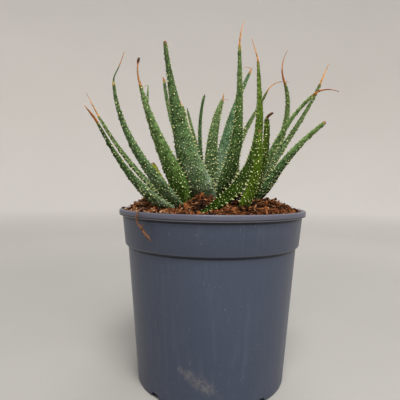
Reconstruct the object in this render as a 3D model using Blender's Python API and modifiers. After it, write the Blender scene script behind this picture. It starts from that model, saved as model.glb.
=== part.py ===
"""A potted candelabra aloe in a plastic nursery pot.

Every leaf is a solid of its own that springs from a short stem. The stems stand in round
holes in the soil, and the soil fills the pot. Its origin is the middle of the pot's foot.
+Z is up and -Y is the front.
"""

import math

import bmesh
import bpy
import numpy as np

MM = 0.001

# Pot, in metres: radii are of the outer face
POT_HEIGHT = 0.1719
RIM_RADIUS = 0.0950
RIM_DEPTH = 0.0058
BAND_TOP_RADIUS = 0.0916
BAND_FOOT_RADIUS = 0.0887
BAND_DEPTH = 0.0350
BODY_TOP_RADIUS = 0.0859
BODY_FOOT_RADIUS = 0.0750
WALL = 0.0018
FLOOR = 0.0024
POT_STEPS = 40

# Drain notches, cut round the foot
NOTCH_COUNT = 9
NOTCH_FIRST = 226.0
NOTCH_WIDTH = 0.0095
NOTCH_HEIGHT = 0.0036

# Soil
SOIL_GAP = 0.0004
SOIL_LEVEL = 0.1697
SOIL_STEPS = 40
SOIL_RINGS = 12
SOIL_LUMP = 0.0012
UNDER_LEAF = 0.0009

# Heaps of soil: x, y, height above the level, spread, all in millimetres
HEAPS = (
    (-68, 6, 11.5, 11),
    (-13, -22, 12.5, 11),
    (4, -14, 7, 12),
    (55, -18, 9.5, 11),
    (70, -10, 3.5, 13),
    (46, -54, 4, 12),
    (-52, 42, 6, 16),
    (2, 70, 8, 15),
    (62, 42, 3, 15),
    (-26, -58, 1.5, 9),
    (41, -11, 5, 9),
    (12, -53, 3.5, 9),
)

# Stems: x, y, height of the crown's centre, crown radius, all in millimetres
STEMS = {
    "left": (-26.5, 4, 167.2, 15),
    "middle": (-1, 38, 169.7, 18.5),
    "right": (43, 13, 169.7, 16.5),
    "front": (22, -43, 164.7, 9),
    "low": (-24, -46, 164.7, 6.5),
}
STEM_DEPTH = 0.016
STEM_STEPS = 14
STEM_RINGS = 4
HOLE_STEPS = 16
ROOT_GAP = 0.00035

# Teeth and tubercles
TOOTH_PITCH = 0.0178
TOOTH_HEIGHT = 0.0020
TOOTH_HALF = 0.0016
TUBERCLE_HEIGHT = 0.0011
TUBERCLE_RADIUS = 0.0010
TUBERCLE_SIDES = ((0, 5), (2, 4), (1, 3), (1, 4), (2, 4), (1, 3))
FIRST_TOOTH = 0.011
LINE_STEPS = 96
TAIL_STEPS = 4
TAIL_END = 0.0010

# Leaves: name, stem, bearings at the root, middle and tip, rises at the root, third, two thirds
# and tip, length, width at the root and tip, taper, roll, then the dry tip: its bearing, its
# rise at the start and end, and its length. Angles are in degrees and sizes in millimetres.
LEAVES = (
    ("left_leaf_1", "left", (217, 206, 194), (14, 41, 56, 61), 118, 14.5, 3.4, 1.2, 25, (193, 54, 49, 19)),
    ("left_leaf_2", "left", (173, 174, 174), (32, 45, 53, 59), 127, 11.5, 3.4, 1.05, -20, (174, 60, 63, 30)),
    ("left_leaf_3", "left", (226, 203, 186), (36, 51, 66, 85), 138, 18, 3.4, 1.1, 25, (1, 56, 76, 31)),
    ("left_leaf_4", "left", (157, 153, 148), (47, 48, 54, 60), 52, 7, 3.6, 1.15, -15, ()),
    ("left_leaf_5", "left", (234, 230, 226), (66, 55, 61, 70), 121, 26.5, 3.4, 1.15, 15, (217, 65, 107, 25)),
    ("left_leaf_6", "left", (112, 129, 137), (45, 48, 52, 58), 120, 12.5, 3.4, 1.15, -10, (136, 58, 58, 8)),
    ("left_leaf_7", "left", (133, 136, 140), (26, 36, 44, 53), 109, 13, 3.4, 1.15, -5, (140, 53, 53, 8)),
    ("middle_leaf_1", "middle", (245, 237, 222), (33, 59, 71, 81), 170, 42, 3.6, 1.55, 25, ()),
    ("middle_leaf_2", "middle", (176, 138, 111), (64, 62, 66, 66), 157, 10, 3.4, 1.1, -10, (180, 69, 69, 5)),
    ("middle_leaf_3", "middle", (125, 133, 137), (65, 66, 65, 68), 120, 7, 3.4, 0.7, -30, (137, 69, 69, 11)),
    ("middle_leaf_4", "middle", (101, 121, 138), (45, 61, 67, 73), 126, 6, 2, 1.1, -5, (138, 73, 73, 5)),
    ("middle_leaf_5", "middle", (110, 96, 60), (55, 65, 68, 66), 144, 6.5, 3.4, 1, 0, (0, 69, 69, 3)),
    ("middle_leaf_6", "middle", (53, 61, 69), (89, 85, 65, 47), 122, 17.5, 3.4, 0.75, 30, (0, 79, 79, 10)),
    ("middle_leaf_7", "middle", (48, 36, 21), (69, 74, 69, 64), 160, 19.5, 3.4, 1.15, 40, (21, 61, 61, 6)),
    ("middle_leaf_8", "middle", (317, 288, 267), (51, 71, 88, 104), 166, 19.5, 3.4, 1.35, -35, (0, 89, 73, 28)),
    ("middle_leaf_9", "middle", (140, 128, 121), (55, 65, 66, 66), 107, 6, 3.4, 1.15, -10, (121, 66, 66, 8)),
    ("middle_leaf_10", "middle", (67, 52, 40), (49, 58, 65, 74), 120, 12, 3.4, 1.15, 5, (40, 74, 74, 8)),
    ("middle_leaf_11", "middle", (91, 87, 83), (15, 29, 43, 58), 62, 15, 3.4, 1.1, 0, (83, 58, 58, 8)),
    ("middle_leaf_12", "middle", (114, 100, 90), (31, 32, 34, 35), 57, 13.5, 3.4, 1.15, -5, (90, 35, 35, 8)),
    ("right_leaf_1", "right", (133, 54, -15), (55, 55, 59, 62), 154, 11.5, 3.4, 1.05, 30, (-6, 59, -16, 32)),
    ("right_leaf_2", "right", (277, 297, 310), (55, 63, 81, 91), 84, 10, 4.6, 1.15, 15, (313, 55, 9, 10)),
    ("right_leaf_3", "right", (65, 33, 12), (41, 54, 74, 110), 163, 15, 3.4, 1, 20, (6, 114, 58, 42)),
    ("right_leaf_4", "right", (317, 325, 336), (73, 64, 55, 38), 119, 9.5, 3.4, 1.1, -25, (343, 28, -28, 24)),
    ("right_leaf_5", "right", (33, 18, 10), (64, 55, 57, 66), 153, 10.5, 3.4, 1.1, 30, (9, 68, 65, 27)),
    ("right_leaf_6", "right", (328, 340, 352), (58, 54, 45, 42), 101, 11.5, 4.6, 0.95, -40, ()),
    ("right_leaf_7", "right", (21, 17, 11), (48, 53, 50, 45), 81, 10.5, 3.6, 1.05, 35, (11, 45, 45, 5)),
    ("right_leaf_8", "right", (78, 72, 80), (82, 62, 43, 25), 105, 11.5, 3.4, 1.15, 0, (80, 25, 25, 8)),
    ("front_leaf_1", "front", (319, 320, 322), (58, 69, 83, 94), 75, 16, 3.5, 0.9, -10, ()),
    ("front_leaf_2", "front", (53, 51, 63), (54, 55, 56, 60), 67, 6, 3.4, 1.25, -20, (63, 60, 60, 8)),
    ("low_leaf_1", "low", (4, 58, 108), (19, 51, 72, 81), 199, 18, 3.4, 1.25, 40, (180, 71, 73, 27)),
)

# The withered leaf that hangs over the rim: x, y, z and half thickness in millimetres
STRAND = (
    (-61.5, -46.0, 172.6, 0.7),
    (-63.3, -57.0, 174.7, 0.8),
    (-64.8, -64.0, 174.0, 0.9),
    (-65.7, -68.4, 173.0, 0.8),
    (-66.5, -70.9, 170.4, 0.8),
    (-66.9, -71.4, 167.2, 0.9),
    (-66.5, -71.0, 164.1, 0.9),
    (-65.2, -71.2, 161.2, 1.0),
    (-62.7, -72.6, 159.0, 1.2),
    (-59.7, -74.3, 155.3, 1.4),
    (-56.7, -75.8, 151.6, 1.3),
    (-53.6, -77.6, 148.2, 0.5),
)

PARTS = bpy.data.collections.new("potted_candelabra_aloe")
CUTTERS = bpy.data.collections.new("cutters")


def clear_scene():
    for thing in list(bpy.data.objects):
        bpy.data.objects.remove(thing, do_unlink=True)


def material(name, colour, roughness, metallic=0.0):
    made = bpy.data.materials.new(name)
    made.use_nodes = True
    shader = made.node_tree.nodes["Principled BSDF"]
    shader.inputs["Base Color"].default_value = (*colour, 1.0)
    shader.inputs["Roughness"].default_value = roughness
    shader.inputs["Metallic"].default_value = metallic
    made.diffuse_color = (*colour, 1.0)
    return made


def add(name, mesh, made, collection=PARTS, location=(0, 0, 0)):
    thing = bpy.data.objects.new(name, mesh)
    thing.location = location
    if made:
        mesh.materials.append(made)
    collection.objects.link(thing)
    return thing


def applied(thing):
    """Replace the object's mesh by the one its modifiers give"""
    bpy.context.view_layer.update()
    graph = bpy.context.evaluated_depsgraph_get()
    mesh = bpy.data.meshes.new_from_object(thing.evaluated_get(graph))
    thing.modifiers.clear()
    thing.data = mesh
    return thing


def turned(name, profile, steps, made, location=(0, 0, 0)):
    """A solid of revolution about Z; the profile starts and ends on the axis"""
    mesh = bpy.data.meshes.new(name)
    points = [(r, 0.0, z) for r, z in profile]
    mesh.from_pydata(points, [(k, k + 1) for k in range(len(points) - 1)], [])
    thing = add(name, mesh, made, PARTS, location)
    screw = thing.modifiers.new("turn", "SCREW")
    screw.axis = "Z"
    screw.steps = steps
    screw.render_steps = steps
    screw.use_merge_vertices = True
    screw.merge_threshold = 0.00001
    screw.use_smooth_shade = False
    return thing


def as_cutter(thing):
    thing.hide_render = True
    thing.display_type = "WIRE"
    return thing


def cut(target, cutter):
    boolean = target.modifiers.new("cut", "BOOLEAN")
    boolean.operation = "DIFFERENCE"
    boolean.solver = "EXACT"
    boolean.object = cutter


def joined(name, meshes):
    """One cutter mesh from separate solids that don't touch"""
    whole = bmesh.new()
    for mesh in meshes:
        whole.from_mesh(mesh)
    mesh = bpy.data.meshes.new(name)
    whole.to_mesh(mesh)
    whole.free()
    return as_cutter(add(name, mesh, None, CUTTERS))


# Pot


def pot_profile():
    top = POT_HEIGHT
    band = top - BAND_DEPTH
    lip = top - RIM_DEPTH
    return [
        (0.0, FLOOR),
        (BODY_FOOT_RADIUS - 0.0048, FLOOR),
        (BODY_FOOT_RADIUS - 0.0016, FLOOR + 0.0030),
        (BODY_TOP_RADIUS - WALL, band - 0.0006),
        (BAND_FOOT_RADIUS - WALL, band + 0.0014),
        (BAND_TOP_RADIUS - WALL, top - 0.0026),
        (BAND_TOP_RADIUS - WALL + 0.0009, top - 0.0007),
        (BAND_TOP_RADIUS - WALL + 0.0022, top),
        (RIM_RADIUS - 0.0013, top),
        (RIM_RADIUS - 0.0003, top - 0.0006),
        (RIM_RADIUS, top - 0.0017),
        (RIM_RADIUS - 0.0002, lip + 0.0006),
        (RIM_RADIUS - 0.0014, lip),
        (BAND_TOP_RADIUS + 0.0008, lip + 0.0013),
        (BAND_TOP_RADIUS, lip - 0.0005),
        (BAND_FOOT_RADIUS + 0.0001, band + 0.0010),
        (BAND_FOOT_RADIUS - 0.0006, band + 0.0001),
        (BODY_TOP_RADIUS + 0.0004, band - 0.0008),
        (BODY_TOP_RADIUS - 0.0001, band - 0.0019),
        (BODY_FOOT_RADIUS + 0.0003, 0.0042),
        (BODY_FOOT_RADIUS - 0.0004, 0.0017),
        (BODY_FOOT_RADIUS - 0.0018, 0.0004),
        (BODY_FOOT_RADIUS - 0.0034, 0.0),
        (0.0, 0.0),
    ]


def notch_mesh(angle):
    """A block with a rounded top, as long as the wall's corner is deep"""
    half = NOTCH_WIDTH / 2
    outline = [(-half, -0.002), (half, -0.002), (half, NOTCH_HEIGHT * 0.6)]
    outline += [(half * 0.6, NOTCH_HEIGHT), (-half * 0.6, NOTCH_HEIGHT)]
    outline += [(-half, NOTCH_HEIGHT * 0.6)]
    turn = math.radians(angle)
    out = (math.cos(turn), math.sin(turn))
    shape = bmesh.new()
    rings = []
    for radius in (BODY_FOOT_RADIUS - 0.0062, BODY_FOOT_RADIUS + 0.004):
        ring = []
        for along, z in outline:
            x = radius * out[0] - along * out[1]
            y = radius * out[1] + along * out[0]
            ring.append(shape.verts.new((x, y, z)))
        rings.append(ring)
    count = len(outline)
    for k in range(count):
        n = (k + 1) % count
        shape.faces.new((rings[0][k], rings[0][n], rings[1][n], rings[1][k]))
    shape.faces.new(rings[0][::-1])
    shape.faces.new(rings[1])
    bmesh.ops.recalc_face_normals(shape, faces=shape.faces)
    mesh = bpy.data.meshes.new("notch")
    shape.to_mesh(mesh)
    shape.free()
    return mesh


def make_pot():
    pot = turned("pot", pot_profile(), POT_STEPS, material("pot_plastic", (0.070, 0.086, 0.115), 0.42))
    step = 360.0 / NOTCH_COUNT
    notches = [notch_mesh(NOTCH_FIRST + step * k) for k in range(NOTCH_COUNT)]
    cut(pot, joined("drain_notches", notches))
    return applied(pot)


# Leaves


def through(values, s):
    """The smooth curve through three or four evenly spaced values"""
    if len(values) == 3:
        a, b, c = values
        return a * (1 - s) * (1 - 2 * s) + 4 * b * s * (1 - s) + c * s * (2 * s - 1)
    a, b, c, d = values
    x = 3 * s
    first = a * (1 - x) * (2 - x) * (3 - x) / 6 + b * x * (2 - x) * (3 - x) / 2
    return first - c * x * (1 - x) * (3 - x) / 2 + d * x * (1 - x) * (2 - x) / 6


def heading(turn, rise):
    turn, rise = np.radians(turn), np.radians(rise)
    flat = np.cos(rise)
    return np.stack([np.cos(turn) * flat, np.sin(turn) * flat, np.sin(rise)], axis=-1)


def walk(start, headings, length):
    """Points of a line that leaves the start and follows the headings"""
    steps = (headings[1:] + headings[:-1]) / 2
    steps /= np.linalg.norm(steps, axis=1)[:, None]
    travel = np.cumsum(steps, axis=0) * length / (len(headings) - 1)
    return start + np.vstack([np.zeros(3), travel])


class Leaf:
    """The line, the frame and the size of one leaf, from its row of the table"""

    def __init__(self, row):
        name, stem, turns, rises, length, width, tip, taper, roll, tail = row
        self.name, self.stem, self.tail = name, stem, tail
        self.length = length * MM
        self.width, self.tip, self.taper = width * MM, tip * MM, taper
        self.s = np.linspace(0, 1, LINE_STEPS)
        self.turns = through(turns, self.s)
        self.heads = heading(self.turns, through(rises, self.s))
        x, y, z, radius = STEMS[stem]
        centre = np.array([x, y, z]) * MM
        self.root = centre + (radius * MM + ROOT_GAP) * self.heads[0]
        self.line = walk(self.root, self.heads, self.length)
        self.roll = math.radians(roll)

    def frame(self, s):
        """Centre, side, up and forward at the share s of the leaf"""
        centre = np.array([np.interp(s, self.s, self.line[:, k]) for k in range(3)])
        forward = np.array([np.interp(s, self.s, self.heads[:, k]) for k in range(3)])
        forward /= np.linalg.norm(forward)
        turn = math.radians(float(np.interp(s, self.s, self.turns)))
        level = np.array([-math.sin(turn), math.cos(turn), 0.0])
        upper = np.cross(forward, level)
        upper /= np.linalg.norm(upper)
        level = np.cross(upper, forward)
        roll = self.roll * min(1.0, s / 0.3)
        side = math.cos(roll) * level + math.sin(roll) * upper
        up = math.cos(roll) * upper - math.sin(roll) * level
        return centre, side, up, forward

    def size(self, s):
        """Width and thickness at the share s of the leaf"""
        width = self.tip + (self.width - self.tip) * (1 - s) ** self.taper
        width *= 0.66 + 0.34 * min(1.0, s / 0.15)
        return width, width * (0.40 + 0.38 * s**1.5)


def section(width, thick, s, tooth=0.0):
    """Six points round the leaf, from the right margin over the upper face"""
    half = width / 2
    edge = thick * (0.30 - 0.22 * s)
    upper = thick * (0.20 + 0.22 * s)
    lower = -thick * (0.58 - 0.10 * s)
    return [
        (half + tooth, edge),
        (half * 0.42, upper),
        (-half * 0.42, upper),
        (-half - tooth, edge),
        (-half * 0.54, lower),
        (half * 0.54, lower),
    ]


def leaf_rings(leaf):
    """The rings of points of a leaf, from its root to the end of its dry tip"""
    stops = [(0.0, 0.0)]
    last = leaf.length - 0.004
    along = FIRST_TOOTH
    while along < last - TOOTH_HALF:
        share = along / leaf.length
        small = 1.0 - 0.45 * share
        stops.append((along - TOOTH_HALF * small, 0.0))
        stops.append((along, TOOTH_HEIGHT * small))
        stops.append((along + TOOTH_HALF * small, 0.0))
        along += TOOTH_PITCH * (1.0 - 0.2 * share)
    stops.append((leaf.length, 0.0))
    rings = []
    for along, tooth in stops:
        s = min(1.0, along / leaf.length)
        centre, side, up, forward = leaf.frame(s)
        width, thick = leaf.size(s)
        ring = []
        for k, (u, n) in enumerate(section(width, thick, s, tooth)):
            lean = 0.0008 if tooth and k in (0, 3) else 0.0
            ring.append(centre + side * u + up * n + forward * lean)
        rings.append(ring)
    plain = len(rings) - 1
    if leaf.tail:
        rings += tail_rings(leaf)
    return rings, plain


def tail_rings(leaf):
    """Rings of the dry tip, which thins to a thread"""
    turn, first, final, length = leaf.tail
    shares = np.linspace(0, 1, TAIL_STEPS + 1)
    heads = heading(turn + 0 * shares, first + (final - first) * shares)
    centre, side, up, forward = leaf.frame(1.0)
    heads[0] = (heads[0] + forward) / np.linalg.norm(heads[0] + forward)
    line = walk(centre, heads, length * MM)
    width, thick = leaf.size(1.0)
    rings = []
    for k in range(1, TAIL_STEPS + 1):
        share = shares[k]
        head = heads[k]
        across = side - head * side.dot(head)
        across /= np.linalg.norm(across)
        over = np.cross(head, across)
        wide = TAIL_END + (width * 0.8 - TAIL_END) * (1 - share) ** 1.1
        deep = TAIL_END + (thick * 0.8 - TAIL_END) * (1 - share) ** 1.1
        ring = [line[k] + across * u + over * n for u, n in section(wide, deep, 1.0)]
        rings.append(ring)
    return rings


def tubercle(points, corners, random):
    """Triangles of a quad face with a small three-sided point raised from it, or None"""
    a, b, c, d = (points[k] for k in corners)
    along = (c + d - a - b) / 2
    across = (b + c - a - d) / 2
    room = np.linalg.norm(across)
    radius = min(TUBERCLE_RADIUS, 0.26 * room)
    if radius < 0.0004 or np.linalg.norm(along) < 4 * radius:
        return None
    drift = random.uniform(-0.16, 0.16, 2)
    middle = (a + b + c + d) / 4 + along * drift[0] + across * drift[1]
    out = np.cross(across, along)
    out /= np.linalg.norm(out)
    along = along / np.linalg.norm(along)
    across = across / room
    first = len(points)
    points.append(middle + along * radius)
    points.append(middle - along * radius * 0.5 - across * radius * 0.87)
    points.append(middle - along * radius * 0.5 + across * radius * 0.87)
    points.append(middle + out * TUBERCLE_HEIGHT * radius / TUBERCLE_RADIUS)
    a, b, c, d = corners
    p, q, r, top = first, first + 1, first + 2, first + 3
    return [
        (a, b, r), (a, r, q), (b, c, p), (b, p, r), (c, d, p), (d, a, q), (d, q, p),
        (q, r, top), (r, p, top), (p, q, top),
    ]


def loft(name, rings, plain, centre, made, seed):
    """A closed solid of triangles through rings of six points, root first

    Between two teeth, two faces of the leaf can carry a tubercle each.
    """
    random = np.random.default_rng(seed)
    count = len(rings[0])
    points = [p - centre for ring in rings for p in ring]
    faces = []
    for r in range(len(rings) - 1):
        spots = TUBERCLE_SIDES[r // 3 % len(TUBERCLE_SIDES)]
        for k in range(count):
            n = (k + 1) % count
            a, b = r * count + k, r * count + n
            c, d = b + count, a + count
            raised = None
            if r % 3 == 0 and r < plain and k in spots:
                raised = tubercle(points, (a, b, c, d), random)
            if raised:
                faces += raised
            elif r % 3 == 1:
                faces += [(a, b, d), (b, c, d)]
            else:
                faces += [(a, b, c), (a, c, d)]
    last = (len(rings) - 1) * count
    for k in range(1, count - 1):
        faces.append((0, k + 1, k))
        faces.append((last, last + k, last + k + 1))
    mesh = bpy.data.meshes.new(name)
    mesh.from_pydata([tuple(p) for p in points], [], faces)
    return add(name, mesh, made, PARTS, tuple(centre))


def leaf_material(name):
    tone = {
        "left": (0.115, 0.215, 0.085),
        "middle": (0.130, 0.230, 0.135),
        "right": (0.120, 0.225, 0.075),
        "front": (0.150, 0.270, 0.045),
        "low": (0.070, 0.160, 0.035),
    }
    return material(name + "_skin", tone[name.split("_")[0]], 0.45)


def make_leaves():
    made = [Leaf(row) for row in LEAVES]
    for seed, leaf in enumerate(made):
        rings, plain = leaf_rings(leaf)
        loft(leaf.name, rings, plain, leaf.root, leaf_material(leaf.name), seed)
    return made


# Stems and soil


def make_stems():
    for name, (x, y, z, radius) in STEMS.items():
        crown = radius * MM
        profile = []
        for k in range(STEM_RINGS + 1):
            turn = math.radians(90 - 90 * k / STEM_RINGS)
            profile.append((crown * math.cos(turn) if k else 0.0, crown * math.sin(turn)))
        profile.append((crown * 0.94, -STEM_DEPTH))
        profile.append((0.0, -STEM_DEPTH))
        made = material(name + "_stem_skin", (0.150, 0.170, 0.070), 0.7)
        turned(name + "_stem", profile, STEM_STEPS, made, (x * MM, y * MM, z * MM))


def soil_height(x, y, lumps):
    """Height of the soil at a point: level, heaps and small seeded lumps"""
    height = SOIL_LEVEL
    for hx, hy, rise, spread in HEAPS:
        away = math.hypot(x - hx * MM, y - hy * MM) / (spread * MM)
        height += rise * MM * math.exp(-0.5 * away * away)
    edge = math.hypot(x, y) / 0.088
    height -= 0.0010 * edge**6
    return height + lumps


def roofs(leaves):
    """Discs that the soil stays under: x, y, reach and height, along the low part of each leaf"""
    found = []
    for leaf in leaves:
        for s in np.linspace(0, 0.75, 19):
            centre, side, up, forward = leaf.frame(s)
            if centre[2] > SOIL_LEVEL + 0.040:
                break
            width, thick = leaf.size(s)
            droop = abs(side[2]) * width / 2 + abs(up[2]) * thick * 0.6
            height = centre[2] - droop - UNDER_LEAF
            found.append((centre[0], centre[1], width / 2 + 0.0045, height))
    return found


def under(x, y, discs):
    """The greatest height of the soil at a point below the discs"""
    heights = [h for cx, cy, reach, h in discs if math.hypot(x - cx, y - cy) < reach]
    return min(heights, default=1.0)


def make_soil(leaves):
    outer = BAND_TOP_RADIUS - WALL - SOIL_GAP - 0.0004
    top = SOIL_LEVEL
    band = POT_HEIGHT - BAND_DEPTH
    profile = [(outer * k / SOIL_RINGS, top) for k in range(SOIL_RINGS + 1)]
    profile += [
        (BAND_FOOT_RADIUS - WALL - SOIL_GAP, band + 0.0014),
        (BODY_TOP_RADIUS - WALL - SOIL_GAP, band - 0.0004),
        (BODY_FOOT_RADIUS - 0.0022, FLOOR + 0.0034),
        (BODY_FOOT_RADIUS - 0.0052, FLOOR + SOIL_GAP),
        (0.0, FLOOR + SOIL_GAP),
    ]
    soil = turned("soil", profile, SOIL_STEPS, material("soil_mix", (0.110, 0.042, 0.020), 0.95))
    applied(soil)
    discs = roofs(leaves)
    random = np.random.default_rng(11)
    for vertex in soil.data.vertices:
        draw = random.uniform(-1, 1, 3)
        x, y, z = vertex.co
        if z < top - 0.0001:
            continue
        radius = math.hypot(x, y)
        if radius < outer - 0.001:
            x += draw[0] * SOIL_LUMP * 0.5
            y += draw[1] * SOIL_LUMP * 0.5
        height = soil_height(x, y, draw[2] * SOIL_LUMP)
        vertex.co = (x, y, min(height, under(x, y, discs)))
    holes = []
    for x, y, z, radius in STEMS.values():
        shape = bmesh.new()
        deep = STEM_DEPTH + SOIL_GAP
        tall = 0.060
        bmesh.ops.create_cone(
            shape, cap_ends=True, segments=HOLE_STEPS, depth=tall,
            radius1=radius * MM / math.cos(math.pi / HOLE_STEPS) + SOIL_GAP,
            radius2=radius * MM / math.cos(math.pi / HOLE_STEPS) + SOIL_GAP,
        )
        bmesh.ops.translate(shape, vec=(x * MM, y * MM, z * MM - deep + tall / 2), verts=shape.verts)
        mesh = bpy.data.meshes.new("hole")
        shape.to_mesh(mesh)
        shape.free()
        holes.append(mesh)
    cut(soil, joined("stem_holes", holes))
    return applied(soil)


# Withered leaf over the rim


def make_strand():
    curve = bpy.data.curves.new("withered_leaf", "CURVE")
    curve.dimensions = "3D"
    curve.bevel_depth = MM
    curve.bevel_resolution = 1
    curve.resolution_u = 1
    curve.use_fill_caps = True
    spline = curve.splines.new("BEZIER")
    spline.bezier_points.add(len(STRAND) - 1)
    for point, (x, y, z, half) in zip(spline.bezier_points, STRAND):
        point.co = (x * MM, y * MM, z * MM)
        point.radius = half
        point.handle_left_type = "AUTO"
        point.handle_right_type = "AUTO"
    made = material("withered_leaf_skin", (0.190, 0.085, 0.035), 0.8)
    curve.materials.append(made)
    holder = bpy.data.objects.new("withered_leaf_line", curve)
    PARTS.objects.link(holder)
    bpy.context.view_layer.update()
    graph = bpy.context.evaluated_depsgraph_get()
    mesh = bpy.data.meshes.new_from_object(holder.evaluated_get(graph))
    bpy.data.objects.remove(holder, do_unlink=True)
    shape = bmesh.new()
    shape.from_mesh(mesh)
    bmesh.ops.remove_doubles(shape, verts=shape.verts, dist=0.000001)
    bmesh.ops.recalc_face_normals(shape, faces=shape.faces)
    shape.to_mesh(mesh)
    shape.free()
    for face in mesh.polygons:
        face.use_smooth = False
    return add("withered_leaf", mesh, None)


def build():
    clear_scene()
    scene = bpy.context.scene
    scene.collection.children.link(PARTS)
    scene.collection.children.link(CUTTERS)
    make_pot()
    leaves = make_leaves()
    make_stems()
    make_soil(leaves)
    make_strand()
    for cutter in list(CUTTERS.objects):
        as_cutter(cutter)


build()
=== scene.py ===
# %% [markdown]
# # A potted aloe, dressed
#
# The solid model holds the pot, the soil, five short stems and every leaf at its real size, with
# few faces and one plain colour each. This lesson keeps those forms and gives them their real
# surface: plastic with dust on it, crumbly soil, and fleshy leaves with cream bumps, toothed
# margins and dry orange tips. Every new piece rides on the solid model, so it lies where its
# solid lies. All lengths are in metres, and +Z is up.

import math

import bmesh
import bpy
import numpy as np
from mathutils import Matrix, Vector, noise


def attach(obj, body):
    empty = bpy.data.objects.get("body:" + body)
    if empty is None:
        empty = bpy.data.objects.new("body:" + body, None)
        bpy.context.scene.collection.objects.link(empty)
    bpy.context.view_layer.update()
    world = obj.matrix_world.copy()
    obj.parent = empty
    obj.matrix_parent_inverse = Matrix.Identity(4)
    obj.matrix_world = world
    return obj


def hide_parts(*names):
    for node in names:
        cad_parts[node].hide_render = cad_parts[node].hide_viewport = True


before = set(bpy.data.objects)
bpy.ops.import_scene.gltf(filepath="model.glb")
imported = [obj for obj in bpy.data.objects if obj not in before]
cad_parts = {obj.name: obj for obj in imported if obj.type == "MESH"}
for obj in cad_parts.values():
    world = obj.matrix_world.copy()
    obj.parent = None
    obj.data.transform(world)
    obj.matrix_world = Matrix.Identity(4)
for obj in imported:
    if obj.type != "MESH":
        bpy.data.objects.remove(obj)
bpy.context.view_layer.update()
MM = 0.001
scene = bpy.context.scene
print("solid pieces:", len(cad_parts))

# %% [markdown]
# ## The camera
#
# The photograph was taken from close by, level with the leaves. The rim of the pot, its foot and
# the slope of its sides fix the camera's place: 382 mm in front of the pot's axis and 22 mm above
# the rim, tipped down by two degrees and leaning by less than one. The lens follows from the
# pot's width in the frame.

# %% Camera
EYE = Vector((-12.6, -382.2, 193.4)) * MM
TIP_DOWN = 1.9
LEAN = 0.65
LENS = 32.77


def added(name, data):
    """A new object in the scene, made from this data"""
    thing = bpy.data.objects.new(name, data)
    scene.collection.objects.link(thing)
    return thing


camera_data = bpy.data.cameras.new("camera")
camera_data.lens = LENS
camera_data.clip_start = 0.01
camera = added("camera", camera_data)
tipped = Matrix.Rotation(math.radians(90 - TIP_DOWN), 4, "X")
leaning = Matrix.Rotation(math.radians(LEAN), 4, "Z")
camera.matrix_world = Matrix.Translation(EYE) @ tipped @ leaning
scene.camera = camera
print("camera", round(LENS, 1), "mm lens")

# %% [markdown]
# ## Shader maths as plain Python
#
# A node tree can be drawn by hand, but sums in it are easier to read as Python. A `Reading` wraps
# one socket. Its signs add Math nodes, so `1 - dust * 0.4` becomes two nodes. A `Finish` is one
# material: its shader keeps the values that are the same all over, and only what changes over
# the surface comes through nodes. A Math node would turn a colour grey, so colours are mixed by
# `blend`. What is wanted again and again has a short method of its own: a part of the place on
# the piece, how far it is from a spot, a value that is stored on the mesh, a cloudy noise, a
# colour ramp and layers of colour on one another.


# %% A socket that Python's signs work on
def sign(operation, swapped=False):
    """The method behind one of Python's signs: it adds a Math node"""

    def method(self, other):
        first, second = (other, self) if swapped else (self, other)
        return self.finish.node("ShaderNodeMath", {"operation": operation}, {0: first, 1: second})

    return method


class Reading:
    """One socket of a finish, which sums can be made with"""

    __add__, __radd__ = sign("ADD"), sign("ADD", swapped=True)
    __sub__, __rsub__ = sign("SUBTRACT"), sign("SUBTRACT", swapped=True)
    __mul__ = sign("MULTIPLY")

    def __init__(self, finish, socket):
        self.finish, self.socket = finish, socket

    def between(self, low, high):
        """A soft step: 0 below the low value and 1 above the high one"""
        values = {"Value": self, "From Min": low, "From Max": high}
        return self.finish.node("ShaderNodeMapRange", {"interpolation_type": "SMOOTHSTEP"}, values)


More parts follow.
